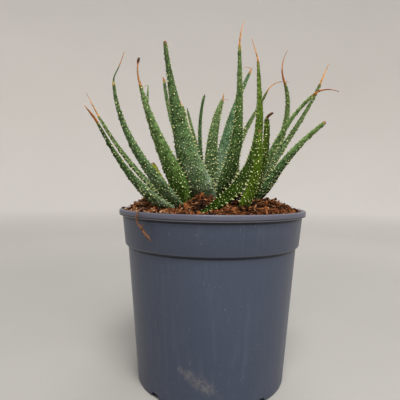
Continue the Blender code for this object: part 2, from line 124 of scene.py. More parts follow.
# %% A material and its nodes
class Finish:
    """A material, its shader and the nodes that vary it"""

    def __init__(self, name, fixed):
        self.material = bpy.data.materials.new(name)
        self.material.use_nodes = True
        self.tree = self.material.node_tree
        self.shader = self.tree.nodes["Principled BSDF"].inputs
        for socket, value in fixed.items():
            self.put(self.shader[socket], value)
        self.where = self.node("ShaderNodeTexCoord", {}, {}, "Object")

    def put(self, socket, value):
        if isinstance(value, Reading):
            self.tree.links.new(value.socket, socket)
        elif socket.type == "RGBA":
            socket.default_value = (*value, 1.0)
        else:
            socket.default_value = value

    def node(self, kind, settings, values, output=0):
        """Add a node: its settings first, then the values or links of its sockets"""
        made = self.tree.nodes.new(kind)
        for name, value in settings.items():
            setattr(made, name, value)
        for name, value in values.items():
            self.put(made.inputs[name], value)
        return Reading(self, made.outputs[output])

    def axis(self, letter):
        return self.node("ShaderNodeSeparateXYZ", {}, {0: self.where}, letter)

    def distance(self, spot):
        values = {0: self.where, 1: spot}
        return self.node("ShaderNodeVectorMath", {"operation": "DISTANCE"}, values, "Value")

    def stored(self, name):
        return self.node("ShaderNodeAttribute", {"attribute_name": name}, {}, "Fac")

    def cloud(self, scale, detail=3.0, roughness=0.55, where=None):
        values = {"Scale": scale, "Detail": detail, "Roughness": roughness}
        return self.node("ShaderNodeTexNoise", {}, {"Vector": where or self.where, **values})

    def upright(self, across, along, detail):
        """A noise drawn out along Z, so that it makes streaks"""
        values = {"Vector": self.where, "Scale": (across, across, along)}
        return self.cloud(1.0, detail, where=self.node("ShaderNodeMapping", {}, values))

    def ramp(self, value, *stops):
        reading = self.node("ShaderNodeValToRGB", {}, {"Fac": value})
        elements = reading.socket.node.color_ramp.elements
        while len(elements) < len(stops):
            elements.new(1.0)
        for element, (place, colour) in zip(elements, stops):
            element.position, element.color = place, (*colour, 1.0)
        return reading

    def blend(self, share, first, second, mode="MIX"):
        settings = {"data_type": "RGBA", "blend_type": mode}
        return self.node("ShaderNodeMix", settings, {0: share, 6: first, 7: second}, 2)

    def layered(self, colour, *layers):
        """Lay colours on a colour in turn, each with the share of it that shows"""
        for share, shade in layers:
            colour = self.blend(share, colour, shade)
        return colour

    def show(self, colour, rough=None, relief=()):
        """Link what varies to the shader. A relief is its height, its strength and its depth"""
        self.put(self.shader["Base Color"], colour)
        if relief:
            values = dict(zip(("Height", "Strength", "Distance"), relief))
            self.put(self.shader["Roughness"], rough)
            self.put(self.shader["Normal"], self.node("ShaderNodeBump", {}, values))
        return self.material


# %% [markdown]
# ## The room
#
# A studio sweep shows a plant best: a pale floor that turns up into a wall all round, with no
# corner to catch the eye. It is a turned profile, so one edge line and a Screw modifier make it.
# The paper is painted darker under the plant and paler away from it: painted shade and light, as
# on a table near a window.
# Large soft lamps stand in for the overcast daylight of the photograph: one high in front, one
# lower on the right, one behind that draws a light line along the leaves, and a weak one that
# only lifts the wall. The front lamp hangs a little to the right, as the left side of the
# photographed pot is the darker one.

# %% Floor and wall
WALL_RADIUS = 1.9
SWEEP = 0.7
WALL_TOP = 1.7


def room_profile():
    flat = [(0.0, 0.0), (WALL_RADIUS - SWEEP, 0.0)]
    turns = [math.radians(90 * k / 12) for k in range(1, 13)]
    bend = [(WALL_RADIUS - SWEEP + SWEEP * math.sin(t), SWEEP - SWEEP * math.cos(t)) for t in turns]
    return flat + bend + [(WALL_RADIUS, WALL_TOP)]


def turned(name, profile, steps, material):
    """A surface of revolution about Z"""
    mesh = bpy.data.meshes.new(name)
    edges = [(k, k + 1) for k in range(len(profile) - 1)]
    mesh.from_pydata([(r, 0.0, z) for r, z in profile], edges, [])
    mesh.materials.append(material)
    thing = added(name, mesh)
    screw = thing.modifiers.new("turn", "SCREW")
    screw.steps = screw.render_steps = steps
    screw.use_merge_vertices = screw.use_smooth_shade = True
    screw.merge_threshold = 0.01 * MM
    return thing


def paper_finish():
    paper = Finish("studio_paper", {"Roughness": 0.9, "Specular IOR Level": 0.2})
    tone, rise = paper.cloud(3.0), paper.axis("Z").between(0.0, 0.2)
    # Painted shade and light: the paper is darker near the plant and paler away from it
    away = paper.distance((0, 0, 0)).between(0.25, 1.35)
    floor = paper.blend(tone, (0.3, 0.288, 0.272), (0.335, 0.323, 0.306))
    wall = paper.blend(tone, (0.61, 0.583, 0.555), (0.645, 0.618, 0.59))
    return paper.show(paper.blend(away * 0.65 + rise, floor, wall))


room = turned("room", room_profile(), 96, paper_finish())
print("room", WALL_RADIUS * 2, "m across")


# %% Lamps
def lamp(name, spot, aim, size, power, colour):
    data = bpy.data.lights.new(name, "AREA")
    data.shape = "DISK"
    data.size, data.energy, data.color = size, power, colour
    thing = added(name, data)
    thing.location = spot
    thing.rotation_euler = (Vector(aim) - Vector(spot)).to_track_quat("-Z", "Y").to_euler()


PLANT = (0, 0, 0.2)
lamp("front_lamp", (0.1, -0.8, 1.45), PLANT, 0.7, 34.0, (1.0, 0.985, 0.96))
lamp("right_lamp", (0.95, -0.75, 0.95), PLANT, 0.7, 3.8, (0.97, 0.985, 1.0))
lamp("back_lamp", (0.25, 0.6, 1.45), PLANT, 0.8, 7.0, (1.0, 0.99, 0.98))
lamp("wall_lamp", (0.0, 0.55, 1.5), (0, 1.9, 0.35), 0.8, 2.5, (1.0, 0.99, 0.98))

world = bpy.data.worlds.new("daylight")
world.use_nodes = True
sky = world.node_tree.nodes["Background"].inputs
sky["Color"].default_value = (0.93, 0.96, 1.0, 1.0)
sky["Strength"].default_value = 0.32
scene.world = world
scene.view_settings.view_transform = "Standard"
print("lamps", len(bpy.data.lights))

# %% [markdown]
# ## Gathering a mesh
#
# Each piece here is made of many small forms: a leaf is one skin, some hundreds of bumps and a
# row of teeth on each side. Joining objects would be slow, so a `Shape` gathers points and faces
# in lists, with a finish for each face and some stored values for each point, and makes one mesh
# at the end. A small form that is repeated is a template: its points are worked out once and
# placed many times by a single sum over arrays.


def dress(thing, node):
    """Let a finished object ride where its solid is, in that solid's place"""
    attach(thing, "root")
    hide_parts(node)
    return thing


class Shape:
    """Points, faces, finishes and stored values of one piece, till it is one mesh"""

    def __init__(self):
        self.points, self.faces, self.finish = [], [], []
        self.stored = {"along": [], "across": [], "shade": [], "cream": []}
        self.count = 0

    def add(self, points, faces, finish=0, **values):
        points = np.asarray(points, float).reshape(-1, 3)
        self.points.append(points)
        self.faces += [[k + self.count for k in face] for face in faces]
        self.finish += [finish] * len(faces)
        for name, kept in self.stored.items():
            value = np.asarray(values.get(name, 0.0), float)
            kept.append(np.broadcast_to(value.ravel(), len(points)))
        self.count += len(points)

    def scatter(self, template, centre, axes, sizes, finish=0, **values):
        """Add copies of a template: one for each row of centres, axes and sizes"""
        points, faces = template
        moved = placed(points, centre, axes, sizes)
        values = {name: np.broadcast_to(value, moved.shape[:2]) for name, value in values.items()}
        self.add(moved, copied(faces, len(points), len(centre)), finish, **values)

    def mesh(self, name):
        mesh = bpy.data.meshes.new(name)
        mesh.from_pydata(np.concatenate(self.points).tolist(), [], self.faces)
        return mesh

    def piece(self, materials, node):
        """Make the object that takes the place of a solid"""
        mesh = self.mesh("visual_" + node)
        for material in materials:
            mesh.materials.append(material)
        mesh.polygons.foreach_set("material_index", self.finish)
        mesh.polygons.foreach_set("use_smooth", [True] * len(self.faces))
        for name, kept in self.stored.items():
            layer = mesh.attributes.new(name, "FLOAT", "POINT")
            layer.data.foreach_set("value", np.concatenate(kept).astype(np.float32))
        return dress(added(mesh.name, mesh), node)


# %% Rings, tubes and copies
def full_turn(number):
    """Evenly spaced angles all round"""
    return np.arange(number) * 2 * math.pi / number


def circle(number):
    turns = full_turn(number)
    return np.stack([np.cos(turns), np.sin(turns), 0 * turns], -1)


def tube_sides(rings, around):
    """Faces between rings of points that close on themselves"""
    start = np.arange(rings - 1)[:, None] * around
    k = start + np.arange(around)
    n = start + (np.arange(around) + 1) % around
    return np.stack([k, n, n + around, k + around], axis=-1).reshape(-1, 4).tolist()


def tube(rings, around):
    """Faces of a tube with both its ends closed"""
    last = (rings - 1) * around
    return tube_sides(rings, around) + [list(range(around))[::-1], list(range(last, last + around))]


def peaked(rings, around):
    """Faces of a tube, open at its foot, that ends in a point"""
    last, peak = (rings - 1) * around, rings * around
    fan = [[last + k, last + (k + 1) % around, peak] for k in range(around)]
    return tube_sides(rings, around) + fan


def placed(points, centre, axes, sizes):
    """The points of a template in all their places"""
    moved = centre[:, None, :]
    for k in range(3):
        reach = points[None, :, k] * sizes[:, k, None]
        moved = moved + reach[:, :, None] * axes[k][:, None, :]
    return moved


def copied(faces, points, copies):
    """The faces of all copies of a template"""
    starts = (np.arange(copies) * points).tolist()
    return [[k + start for k in face] for start in starts for face in faces]


def swept(centre, side, up, out, over):
    """Rings of points, each so far out to its side and so far over its centre"""
    return centre[:, None] + out[..., None] * side[:, None] + over[..., None] * up[:, None]


# %% [markdown]
# ## The pot
#
# The real pot is moulded in one piece from blue-grey plastic. It has a rolled rim, a wide band,
# a small step, a tapered wall, a rounded foot and drain notches. A lathe profile gives all of
# that, and a Boolean cuts the notches. It could be one smooth curve, but the band's step and the
# rim's lip are what make it read as a nursery pot, so the profile keeps its crisp corners and a
# small Bevel softens them. Two extra rings stand close above the notches: without them the cut
# would reach into the tall faces of the wall, and their shading would show a dark strip.

# %% Pot sizes
# RIM is a radius too. LIP and BAND are the heights where the rim and the band end below
POT_HEIGHT = 171.9 * MM
RIM = 95.0 * MM
BAND_TOP_RADIUS = 91.6 * MM
BAND_FOOT_RADIUS = 88.7 * MM
BODY_TOP_RADIUS = 85.9 * MM
BODY_FOOT_RADIUS = 75.0 * MM
LIP = POT_HEIGHT - 5.8 * MM
BAND = POT_HEIGHT - 35.0 * MM
WALL = 1.8 * MM
FLOOR = 2.4 * MM
POT_STEPS = 180
NOTCH_COUNT = 9
NOTCH_FIRST = 226.0
NOTCH_WIDTH = 9.5 * MM
NOTCH_HEIGHT = 4.6 * MM


def pot_profile():
    """The pot's outline from the floor's middle round to the foot's: each corner is a radius and
    the millimetres beside it, then a height and the millimetres over it"""
    top, foot, body, neck = POT_HEIGHT, BODY_FOOT_RADIUS, BODY_TOP_RADIUS, BAND_FOOT_RADIUS
    wide = BAND_TOP_RADIUS
    inner = ((0, 0, FLOOR, 0), (foot, -4.8, FLOOR, 0), (foot, -1.6, FLOOR, 3.0),
             (body - WALL, 0, BAND, -0.6), (neck - WALL, 0, BAND, 1.4), (wide - WALL, 0, top, -2.6),
             (wide - WALL, 0.9, top, -0.7), (wide - WALL, 2.2, top, 0))
    rim = ((RIM, -1.3, top, 0), (RIM, -0.4, top, -0.4), (RIM, 0, top, -1.5), (RIM, -0.2, LIP, 0.6),
           (RIM, -1.4, LIP, 0), (wide, 0.8, LIP, 1.3), (wide, 0, LIP, -0.5))
    outer = ((neck, 0.1, BAND, 1.0), (neck, -0.6, BAND, 0.1), (body, 0.4, BAND, -0.8),
             (body, -0.1, BAND, -1.9), (foot, 0.73, 0, 9.2), (foot, 0.43, 0, 5.4),
             (foot, 0.2, 0, 2.6), (foot, -0.1, 0, 0.9), (foot, -0.7, 0, 0.2), (foot, -2.0, 0, 0),
             (0, 0, 0, 0))
    return [(r + out * MM, z + over * MM) for r, out, z, over in inner + rim + outer]


# %% Drain notches
def notch(shape, angle):
    """A block with a rounded top, set across the foot's edge"""
    half, tall = NOTCH_WIDTH / 2, NOTCH_HEIGHT
    right = [(half, -2 * MM), (half, tall * 0.6), (half * 0.8, tall * 0.9), (half * 0.5, tall)]
    outline = [(-half, -2 * MM)] + right + [(-a, z) for a, z in right[:0:-1]]
    out = Vector((math.cos(angle), math.sin(angle), 0))
    along = Vector((-out.y, out.x, 0))
    ends = (BODY_FOOT_RADIUS - 6.2 * MM, BODY_FOOT_RADIUS + 4 * MM)
    points = [out * radius + along * a + Vector((0, 0, z)) for radius in ends for a, z in outline]
    shape.add([tuple(point) for point in points], tube(2, len(outline)))


def notch_cutter():
    shape = Shape()
    for k in range(NOTCH_COUNT):
        notch(shape, math.radians(NOTCH_FIRST + 360 * k / NOTCH_COUNT))
    mesh = shape.mesh("notches")
    whole = bmesh.new()
    whole.from_mesh(mesh)
    bmesh.ops.recalc_face_normals(whole, faces=whole.faces)
    whole.to_mesh(mesh)
    whole.free()
    return added("notches", mesh)


# %% [markdown]
# The plastic is dull where it was handled and brighter where the mould was polished. It carries
# fine dust, some upright scratches, a run of paler streaks under the rim, and a brown smudge of
# soil low on the front, and it is darker towards its foot. It also carries painted light: a
# painted shadow under the lip and under the step, a painted highlight on the lip's lower edge and
# over the step, and a paler rim that is partly wear and partly a painted highlight. All of these
# are layers of colour on one another. A noise says where each shows: a stretched one makes
# streaks, a fine one with a hard step makes specks, and the smudge is a noise that fades with the
# distance from its place.

# %% Plastic
# Places of the smudge, and how far each part of it reaches
SMUDGES = (((-27, -72, 36), 5), ((-20, -74, 32), 8), ((-12, -76, 27), 11), ((-4, -76, 21), 9))
PAINTED_SHADOW, PAINTED_LIP_HIGHLIGHT, PAINTED_STEP_HIGHLIGHT = (0.008, 0.009, 0.013), (0.3, 0.29, 0.32), (0.11, 0.118, 0.15)

# Painted shadow lines under the lip and the step, and painted highlight lines on the lip's lower
# edge and over the step: from where, how far under it and over it
SHADOW_AND_HIGHLIGHT_LINES = ((LIP, 2.2, 1.4, PAINTED_SHADOW), (LIP, 0.1, 0.5, PAINTED_LIP_HIGHLIGHT), (BAND, 2.6, -0.9, PAINTED_SHADOW),
             (BAND, -0.3, 0.7, PAINTED_STEP_HIGHLIGHT))


def plastic_finish():
    pot = Finish("blue_grey_plastic", {"IOR": 1.45, "Specular IOR Level": 0.3})
    height, broad = pot.axis("Z"), pot.cloud(16.0)
    grit = pot.cloud(330.0, 6.0, 0.8).between(0.36, 0.6)
    streaks = pot.upright(240, 7, 4.0).between(0.5, 0.8)
    scratches = pot.upright(900, 16, 2.0).between(0.68, 0.74)
    splash = (1 - height.between(0.0, 34 * MM)) * pot.cloud(120.0, 5.0, 0.7).between(0.5, 0.72)
    layers = [
        ((1 - height.between(20 * MM, 135 * MM)) * 0.22, (0.008, 0.01, 0.02)),
        # The rim painted paler: partly wear, partly a painted highlight where it catches the light
        # from above
        (height.between(LIP - 1 * MM, LIP), (0.08, 0.081, 0.11)),
        (streaks * 0.3, (0.105, 0.12, 0.16)),
        (scratches * 0.4, (0.165, 0.175, 0.2)),
        (pot.cloud(700.0, 2.0).between(0.7, 0.75) * 0.55, (0.28, 0.27, 0.255)),
        (splash * 0.35, (0.125, 0.122, 0.13)),
    ]
    for spot, reach in SMUDGES:
        far = pot.distance([value * MM for value in spot])
        layers.append(((1 - far.between(1 * MM, reach * MM)) * grit * 0.62, (0.17, 0.158, 0.156)))
    # Painted shadow and painted highlight lines round the pot, each between two heights
    for edge, under, over, shade in SHADOW_AND_HIGHLIGHT_LINES:
        low, high = edge - under * MM, edge + over * MM
        line = height.between(low - 0.5 * MM, low) * (1 - height.between(high, high + 0.3 * MM))
        layers.append((line * 0.85, shade))
    colour = pot.layered(pot.blend(broad, (0.054, 0.068, 0.106), (0.068, 0.083, 0.126)), *layers)
    rough = 0.3 + broad * 0.12 + streaks * 0.12 + splash * 0.25
    return pot.show(colour, rough, (pot.cloud(420.0, 2.0) + scratches * 0.4, 0.12, 0.1 * MM))


# %% The finished pot
def make_pot():
    pot = turned("visual_pot", pot_profile(), POT_STEPS, plastic_finish())
    cutter = notch_cutter()
    pot.modifiers.new("cut", "BOOLEAN").object = cutter
    soft = pot.modifiers.new("soft", "BEVEL")
    soft.width = 0.25 * MM
    soft.segments = 2
    soft.angle_limit = math.radians(35)
    bpy.context.view_layer.update()
    graph = bpy.context.evaluated_depsgraph_get()
    mesh = bpy.data.meshes.new_from_object(pot.evaluated_get(graph))
    pot.modifiers.clear()
    pot.data = mesh
    mesh.set_sharp_from_angle(angle=math.radians(38))
    bpy.data.objects.remove(cutter)
    return dress(pot, "pot")


pot = make_pot()
print("pot faces", len(pot.data.polygons))

# %% [markdown]
# ## The line of a leaf
#
# An aloe leaf leaves its stem square to it and then bends. Its line is walked, step by step: at
# each share of the length a bearing says where it points seen from above, and a rise says how
# steeply it climbs. A few values for each leaf are enough, and smooth curves run through them.
# The same table shaped the solids, so each skin lies on its own solid. In the photograph some
# leaves are wider or narrower along a stretch than an even taper makes them: the low one near its
# top, the curled one all along. Those get a stretch of their own, which is a soft swelling.

# %% Stems and leaves
# Each stem: where the middle of its dome is, and the dome's radius, in millimetres
STEMS = {
    "left": (-26.5, 4, 167.2, 15),
    "middle": (-1, 38, 169.7, 18.5),
    "right": (43, 13, 169.7, 16.5),
    "front": (22, -43, 164.7, 9),
    "low": (-24, -46, 164.7, 6.5),
}
ROOT_GAP = 0.35 * MM

# Leaves of each stem: bearings at the root, middle and tip, rises at the root, third, two thirds
# and tip, length, width at the root and tip, taper, roll, then the dry tip: its bearing, its
# rise at the start and end, and its length. Angles are in degrees and sizes in millimetres.
LEAVES = {
    "left": (
        ((217, 206, 194), (14, 41, 56, 61), 118, 14.5, 3.4, 1.2, 25, (193, 54, 49, 19)),
        ((173, 174, 174), (32, 45, 53, 59), 127, 11.5, 3.4, 1.05, -20, (174, 60, 63, 30)),
        ((226, 203, 186), (36, 51, 66, 85), 138, 18, 3.4, 1.1, 25, (1, 56, 76, 31)),
        ((157, 153, 148), (47, 48, 54, 60), 52, 7, 3.6, 1.15, -15, ()),
        ((234, 230, 226), (66, 55, 61, 70), 121, 26.5, 3.4, 1.15, 15, (217, 65, 107, 25)),
        ((112, 129, 137), (45, 48, 52, 58), 120, 12.5, 3.4, 1.15, -10, (136, 58, 58, 8)),
        ((133, 136, 140), (26, 36, 44, 53), 109, 13, 3.4, 1.15, -5, (140, 53, 53, 8)),
    ),
    "middle": (
        ((245, 237, 222), (33, 59, 71, 81), 170, 42, 3.6, 1.55, 25, ()),
        ((176, 138, 111), (64, 62, 66, 66), 157, 10, 3.4, 1.1, -10, (180, 69, 69, 5)),
        ((125, 133, 137), (65, 66, 65, 68), 120, 7, 3.4, 0.7, -30, (137, 69, 69, 11)),
        ((101, 121, 138), (45, 61, 67, 73), 126, 6, 2, 1.1, -5, (138, 73, 73, 5)),
        ((110, 96, 60), (55, 65, 68, 66), 144, 6.5, 3.4, 1, 0, (0, 69, 69, 3)),
        ((53, 61, 69), (89, 85, 65, 47), 122, 17.5, 3.4, 0.75, 30, (0, 79, 79, 10)),
        ((48, 36, 21), (69, 74, 69, 64), 160, 19.5, 3.4, 1.15, 40, (21, 61, 61, 6)),
        ((317, 288, 267), (51, 71, 88, 104), 166, 19.5, 3.4, 1.35, -35, (0, 89, 73, 28)),
        ((140, 128, 121), (55, 65, 66, 66), 107, 6, 3.4, 1.15, -10, (121, 66, 66, 8)),
        ((67, 52, 40), (49, 58, 65, 74), 120, 12, 3.4, 1.15, 5, (40, 74, 74, 8)),
        ((91, 87, 83), (15, 29, 43, 58), 62, 15, 3.4, 1.1, 0, (83, 58, 58, 8)),
        ((114, 100, 90), (31, 32, 34, 35), 57, 13.5, 3.4, 1.15, -5, (90, 35, 35, 8)),
    ),
    "right": (
        ((133, 54, -15), (55, 55, 59, 62), 154, 11.5, 3.4, 1.05, 30, (-6, 59, -16, 32)),
        ((277, 297, 310), (55, 63, 81, 91), 84, 10, 4.6, 1.15, 15, (313, 55, 9, 10)),
        ((65, 33, 12), (41, 54, 74, 110), 163, 15, 3.4, 1, 20, (6, 114, 58, 42)),
        ((317, 325, 336), (73, 64, 55, 38), 119, 9.5, 3.4, 1.1, -25, (343, 28, -28, 24)),
        ((33, 18, 10), (64, 55, 57, 66), 153, 10.5, 3.4, 1.1, 30, (9, 68, 65, 27)),
        ((328, 340, 352), (58, 54, 45, 42), 101, 11.5, 4.6, 0.95, -40, ()),
        ((21, 17, 11), (48, 53, 50, 45), 81, 10.5, 3.6, 1.05, 35, (11, 45, 45, 5)),
        ((78, 72, 80), (82, 62, 43, 25), 105, 11.5, 3.4, 1.15, 0, (80, 25, 25, 8)),
    ),
    "front": (
        ((319, 320, 322), (58, 69, 83, 94), 75, 16, 3.5, 0.9, -10, ()),
        ((53, 51, 63), (54, 55, 56, 60), 67, 6, 3.4, 1.25, -20, (63, 60, 60, 8)),
    ),
    "low": (
        ((4, 58, 108), (19, 51, 72, 81), 199, 18, 3.4, 1.25, 40, (180, 71, 73, 27)),
    ),
}


# %% Walking a line
def through(values, s):
    """The smooth curve through three or four evenly spaced values"""
    if len(values) == 3:
        a, b, c = values
        return a * (1 - s) * (1 - 2 * s) + 4 * b * s * (1 - s) + c * s * (2 * s - 1)
    a, b, c, d = values
    x = 3 * s
    first = a * (1 - x) * (2 - x) * (3 - x) / 6 + b * x * (2 - x) * (3 - x) / 2
    return first - c * x * (1 - x) * (3 - x) / 2 + d * x * (1 - x) * (2 - x) / 6


def unit(vectors):
    return vectors / np.linalg.norm(vectors, axis=-1, keepdims=True)


def heading(turn, rise):
    """Unit vectors at a bearing and a rise, in radians"""
    flat = np.cos(rise)
    return np.stack([np.cos(turn) * flat, np.sin(turn) * flat, np.sin(rise)], axis=-1)


def aside(turn):
    """Level unit vectors, square to a bearing"""
    return np.stack([-np.sin(turn), np.cos(turn), 0 * turn], axis=-1)


def rolled(side, up, roll):
    """The vectors to the side and up, rolled about the way forward"""
    cos, sin = np.cos(roll)[:, None], np.sin(roll)[:, None]
    return cos * side + sin * up, cos * up - sin * side


def walk(start, headings, length):
    """Points of a line that leaves the start and follows the headings"""
    steps = unit((headings[1:] + headings[:-1]) / 2)
    travel = np.cumsum(steps, axis=0) * length / (len(headings) - 1)
    return start + np.vstack([np.zeros(3), travel])


def read_off(where, marks, rows):
    """Rows read between those of a table, each column by itself"""
    return np.stack([np.interp(where, marks, column) for column in rows.T], -1)


# %% A leaf's line, frame and size
LINE_STEPS = 96
# How wide a leaf is at its very root, beside the blade a little above it
ROOT_WAIST = 0.66

# Leaves that are wider or narrower along a stretch: by how many millimetres, and the share of
# the length where that is and how far it reaches
STRETCHES = {
    "left_leaf_1": (3.8, 0.2, 0.26), "left_leaf_4": (2.4, 0.8, 0.6),
    "middle_leaf_3": (5.0, 0.95, 0.13), "middle_leaf_4": (1.8, 0.75, 0.4),
    "right_leaf_2": (3.4, 0.65, 0.5), "right_leaf_3": (0.9, 0.9, 0.2),
    "right_leaf_6": (-2.2, 0.3, 0.3), "right_leaf_7": (-1.6, 0.4, 0.4),
    "low_leaf_1": (1.7, 0.75, 0.22),
}


def swelling(table, leaf, s):
    """How much wider a table like the one above makes a leaf"""
    more, middle, reach = table.get(leaf.name, (0.0, 0.5, 1.0))
    return more * MM * np.exp(-((s - middle) / reach) ** 2)


class Leaf:
    """Where a leaf runs, which way it faces and how wide and thick it is"""

    def __init__(self, stem, number, turns, rises, length, width, tip, taper, roll, tail):
        self.name, self.tail = f"{stem}_leaf_{number}", tail
        self.length = length * MM
        self.width, self.tip, self.taper = width * MM, tip * MM, taper
        self.s = np.linspace(0, 1, LINE_STEPS)
        self.turns = through(turns, self.s)
        self.heads = heading(np.radians(self.turns), np.radians(through(rises, self.s)))
        *crown, radius = STEMS[stem]
        self.crown = radius * MM
        root = np.array(crown) * MM + (self.crown + ROOT_GAP) * self.heads[0]
        self.line = walk(root, self.heads, self.length)
        self.roll = math.radians(roll)

    def frame(self, s):
        """Centres, sides, ups and forwards at the shares s of the leaf"""
        s = np.asarray(s, float)
        inside = np.clip(s, 0, 1)
        forward = unit(read_off(inside, self.s, self.heads))
        centre = read_off(inside, self.s, self.line) + forward * ((s - inside) * self.length)[:, None]
        upper = unit(np.cross(forward, aside(np.radians(np.interp(inside, self.s, self.turns)))))
        roll = self.roll * np.minimum(1, inside / 0.3)
        return centre, *rolled(np.cross(upper, forward), upper, roll), forward

    def size(self, s):
        """Width and thickness at the shares s of the leaf"""
        s = np.clip(s, 0, 1)
        width = self.tip + (self.width - self.tip) * (1 - s) ** self.taper
        waist = ROOT_WAIST + (1 - ROOT_WAIST) * np.minimum(1, s / 0.15)
        width = width * waist + swelling(STRETCHES, self, s)
        return width, width * (0.4 + 0.38 * s**1.5)


leaves = [Leaf(stem, k, *row) for stem, rows in LEAVES.items() for k, row in enumerate(rows, 1)]
print("leaves", len(leaves))

# %% [markdown]
# ## The skin
#
# Seen end on, an aloe leaf is a shallow channel above and a full belly below, and it turns round
# and solid towards the tip. One formula gives that outline at any share of the length. Rings of
# it, a millimetre or so apart, make the skin. The root runs on into the stem, as the real leaf
# clasps it, so no gap shows there.

# %% Outline of the skin
RING_STEP = 1.4 * MM
ACROSS_UPPER = np.linspace(1, -1, 11)[:-1]
ACROSS_LOWER = -np.cos(np.linspace(0, math.pi, 15))[:-1]
ACROSS = np.concatenate([ACROSS_UPPER, ACROSS_LOWER])
AROUND = len(ACROSS)


def height(across, lower, thick, s):
    """Height of the skin over the leaf's middle, at -1 to 1 across it"""
    # Up to the tip the edge thins, the belly flattens and the channel fills
    edge = thick * (0.3 - 0.22 * s)
    if lower:
        belly = thick * (0.61 - 0.1 * s)
        return edge - (edge + belly) * np.sqrt(np.clip(1 - np.abs(across) ** 2.4, 0, 1))
    channel = thick * (0.13 + 0.29 * s)
    return edge + (channel - edge) * (1 - across**2)


def ring_points(centre, side, up, width, thick, s):
    """The skin's points on every ring: the upper face first, then the belly"""
    width, thick, s = (value[:, None] for value in (width, thick, s))
    faces = [height(ACROSS_UPPER, False, thick, s), height(ACROSS_LOWER, True, thick, s)]
    return swept(centre, side, up, ACROSS * width / 2, np.concatenate(faces, axis=1))


# %% Root, blade and dry tip in one run of rings
ROOT_SUNK = 7 * MM
TAIL_RINGS = 18
THREAD = 0.55 * MM
# Ends that dried to a thick curl, in the manner of the stretches above
CLUBS = {
    "left_leaf_1": (1.3, 0.35, 0.45), "left_leaf_5": (2.2, 0.9, 0.15),
    "right_leaf_2": (2.0, 0.8, 0.4),
}
# Rings that close a cut end: how far ahead, and how large
CUT_RINGS = np.array(((0.25, 0.96), (0.7, 0.8), (0.95, 0.45), (1.0, 0.12)))


def tail_frame(leaf):
    """Centres, axes and sizes along the dry tip"""
    turn, first, final, length = leaf.tail
    shares = np.linspace(0, 1, TAIL_RINGS + 1)
    heads = heading(np.radians(turn + 0 * shares), np.radians(first + (final - first) * shares))
    centre, side, _, forward = (value[0] for value in leaf.frame([1.0]))
    settle = np.minimum(1, shares / 0.3)[:, None]
    heads = unit(forward * (1 - settle) + heads * settle)
    line = walk(centre, heads, length * MM)[1:]
    heads, shares = heads[1:], shares[1:]
    sides = unit(side - heads * (heads @ side)[:, None])
    width, thick = leaf.size(1.0)
    thin = (1 - shares) ** 1.1
    wither = 1 + 0.22 * np.sin(shares * 31 + len(leaf.name) * turn)
    club = swelling(CLUBS, leaf, shares)
    wide = THREAD + (width * 0.8 - THREAD) * thin * wither + club
    deep = THREAD + (thick * 0.6 - THREAD) * thin + club * 0.8
    return line, sides, np.cross(heads, sides), wide, deep, shares


def cut_frame(leaf):
    """The rounded end of a leaf that was cut or has healed short"""
    centre, side, up, forward = leaf.frame([1.0])
    width, thick = leaf.size(1.0)
    ahead, size = CUT_RINGS.T
    line = centre + forward * (ahead * thick * 0.4)[:, None]
    side, up = (np.repeat(way, len(ahead), axis=0) for way in (side, up))
    return line, side, up, width * size, thick * size, ahead


def uneven(rings):
    """Move the points of each ring in or out a little, as a fleshy skin is never even"""
    spokes = rings - rings.mean(axis=1, keepdims=True)
    spots = [Vector(point) for point in rings.reshape(-1, 3)]
    moves = [0.42 * noise.noise(spot * 120) + 0.3 * noise.noise(spot * 310) for spot in spots]
    calm = np.minimum(1, np.linalg.norm(spokes, axis=2).mean(axis=1) / (4 * MM))[:, None]
    return rings + unit(spokes) * (np.array(moves).reshape(rings.shape[:2]) * calm * MM)[..., None]


def skin(shape, leaf):
    """Add the skin of a leaf, with the share of its length stored on each point"""
    sunk = -min(ROOT_SUNK, leaf.crown - 1 * MM) / leaf.length
    blade = np.linspace(0, 1, int(leaf.length / RING_STEP))
    s = np.concatenate([np.linspace(sunk, 0, 5)[:-1], blade])
    points = [ring_points(*leaf.frame(s)[:3], *leaf.size(s), np.clip(s, 0, 1))]
    *end, shares = tail_frame(leaf) if leaf.tail else cut_frame(leaf)
    points.append(ring_points(*end, np.ones(len(shares))))
    points = uneven(np.concatenate(points))
    along = np.repeat(np.concatenate([np.clip(s, 0, 1), 1 + shares]), AROUND)
    rings = len(points)
    across = np.tile(ACROSS, rings)
    shape.add(points, tube(rings, AROUND), along=along, across=across, shade=tone(leaf))


def tone(leaf):
    """How light this leaf is beside the others of its kind"""
    return SKINS.get(leaf.name, PLAIN)[2]


# %% [markdown]
# ## Bumps and teeth
#
# What makes this plant itself is its cream bumps. They stand in wavy rows across both faces, a
# few millimetres apart, smaller towards the tip. Along each margin runs a row of soft hooked
# teeth. A texture could fake them, but they break the leaf's outline against the light, so each
# is a real form. A rule places them, and a seeded draw moves each one a little off its place.

# %% Templates for one bump and one tooth
BUMP_SIDES = 6
TOOTH_SIDES = 5


def dome():
    """A bump on a low swelling, and how cream each of its points is"""
    ring = circle(BUMP_SIDES)
    foot = ring * [2.0, 1.9, 0] + [0, 0, -0.6]
    slope = ring * [1.25, 1.2, 0] + [0.05, 0, 0.3]
    shoulder = ring * [0.74, 0.74, 0] + [0.12, 0, 0.85]
    points = np.vstack([foot, slope, shoulder, [[0.3, 0, 1.2]]])
    # The low cream values of the foot are where the skin paints a dark ring of shade round the bump
    cream = np.repeat([0.02, 0.35, 0.85, 1.0], [BUMP_SIDES, BUMP_SIDES, BUMP_SIDES, 1])
    return (points, peaked(3, BUMP_SIDES)), cream


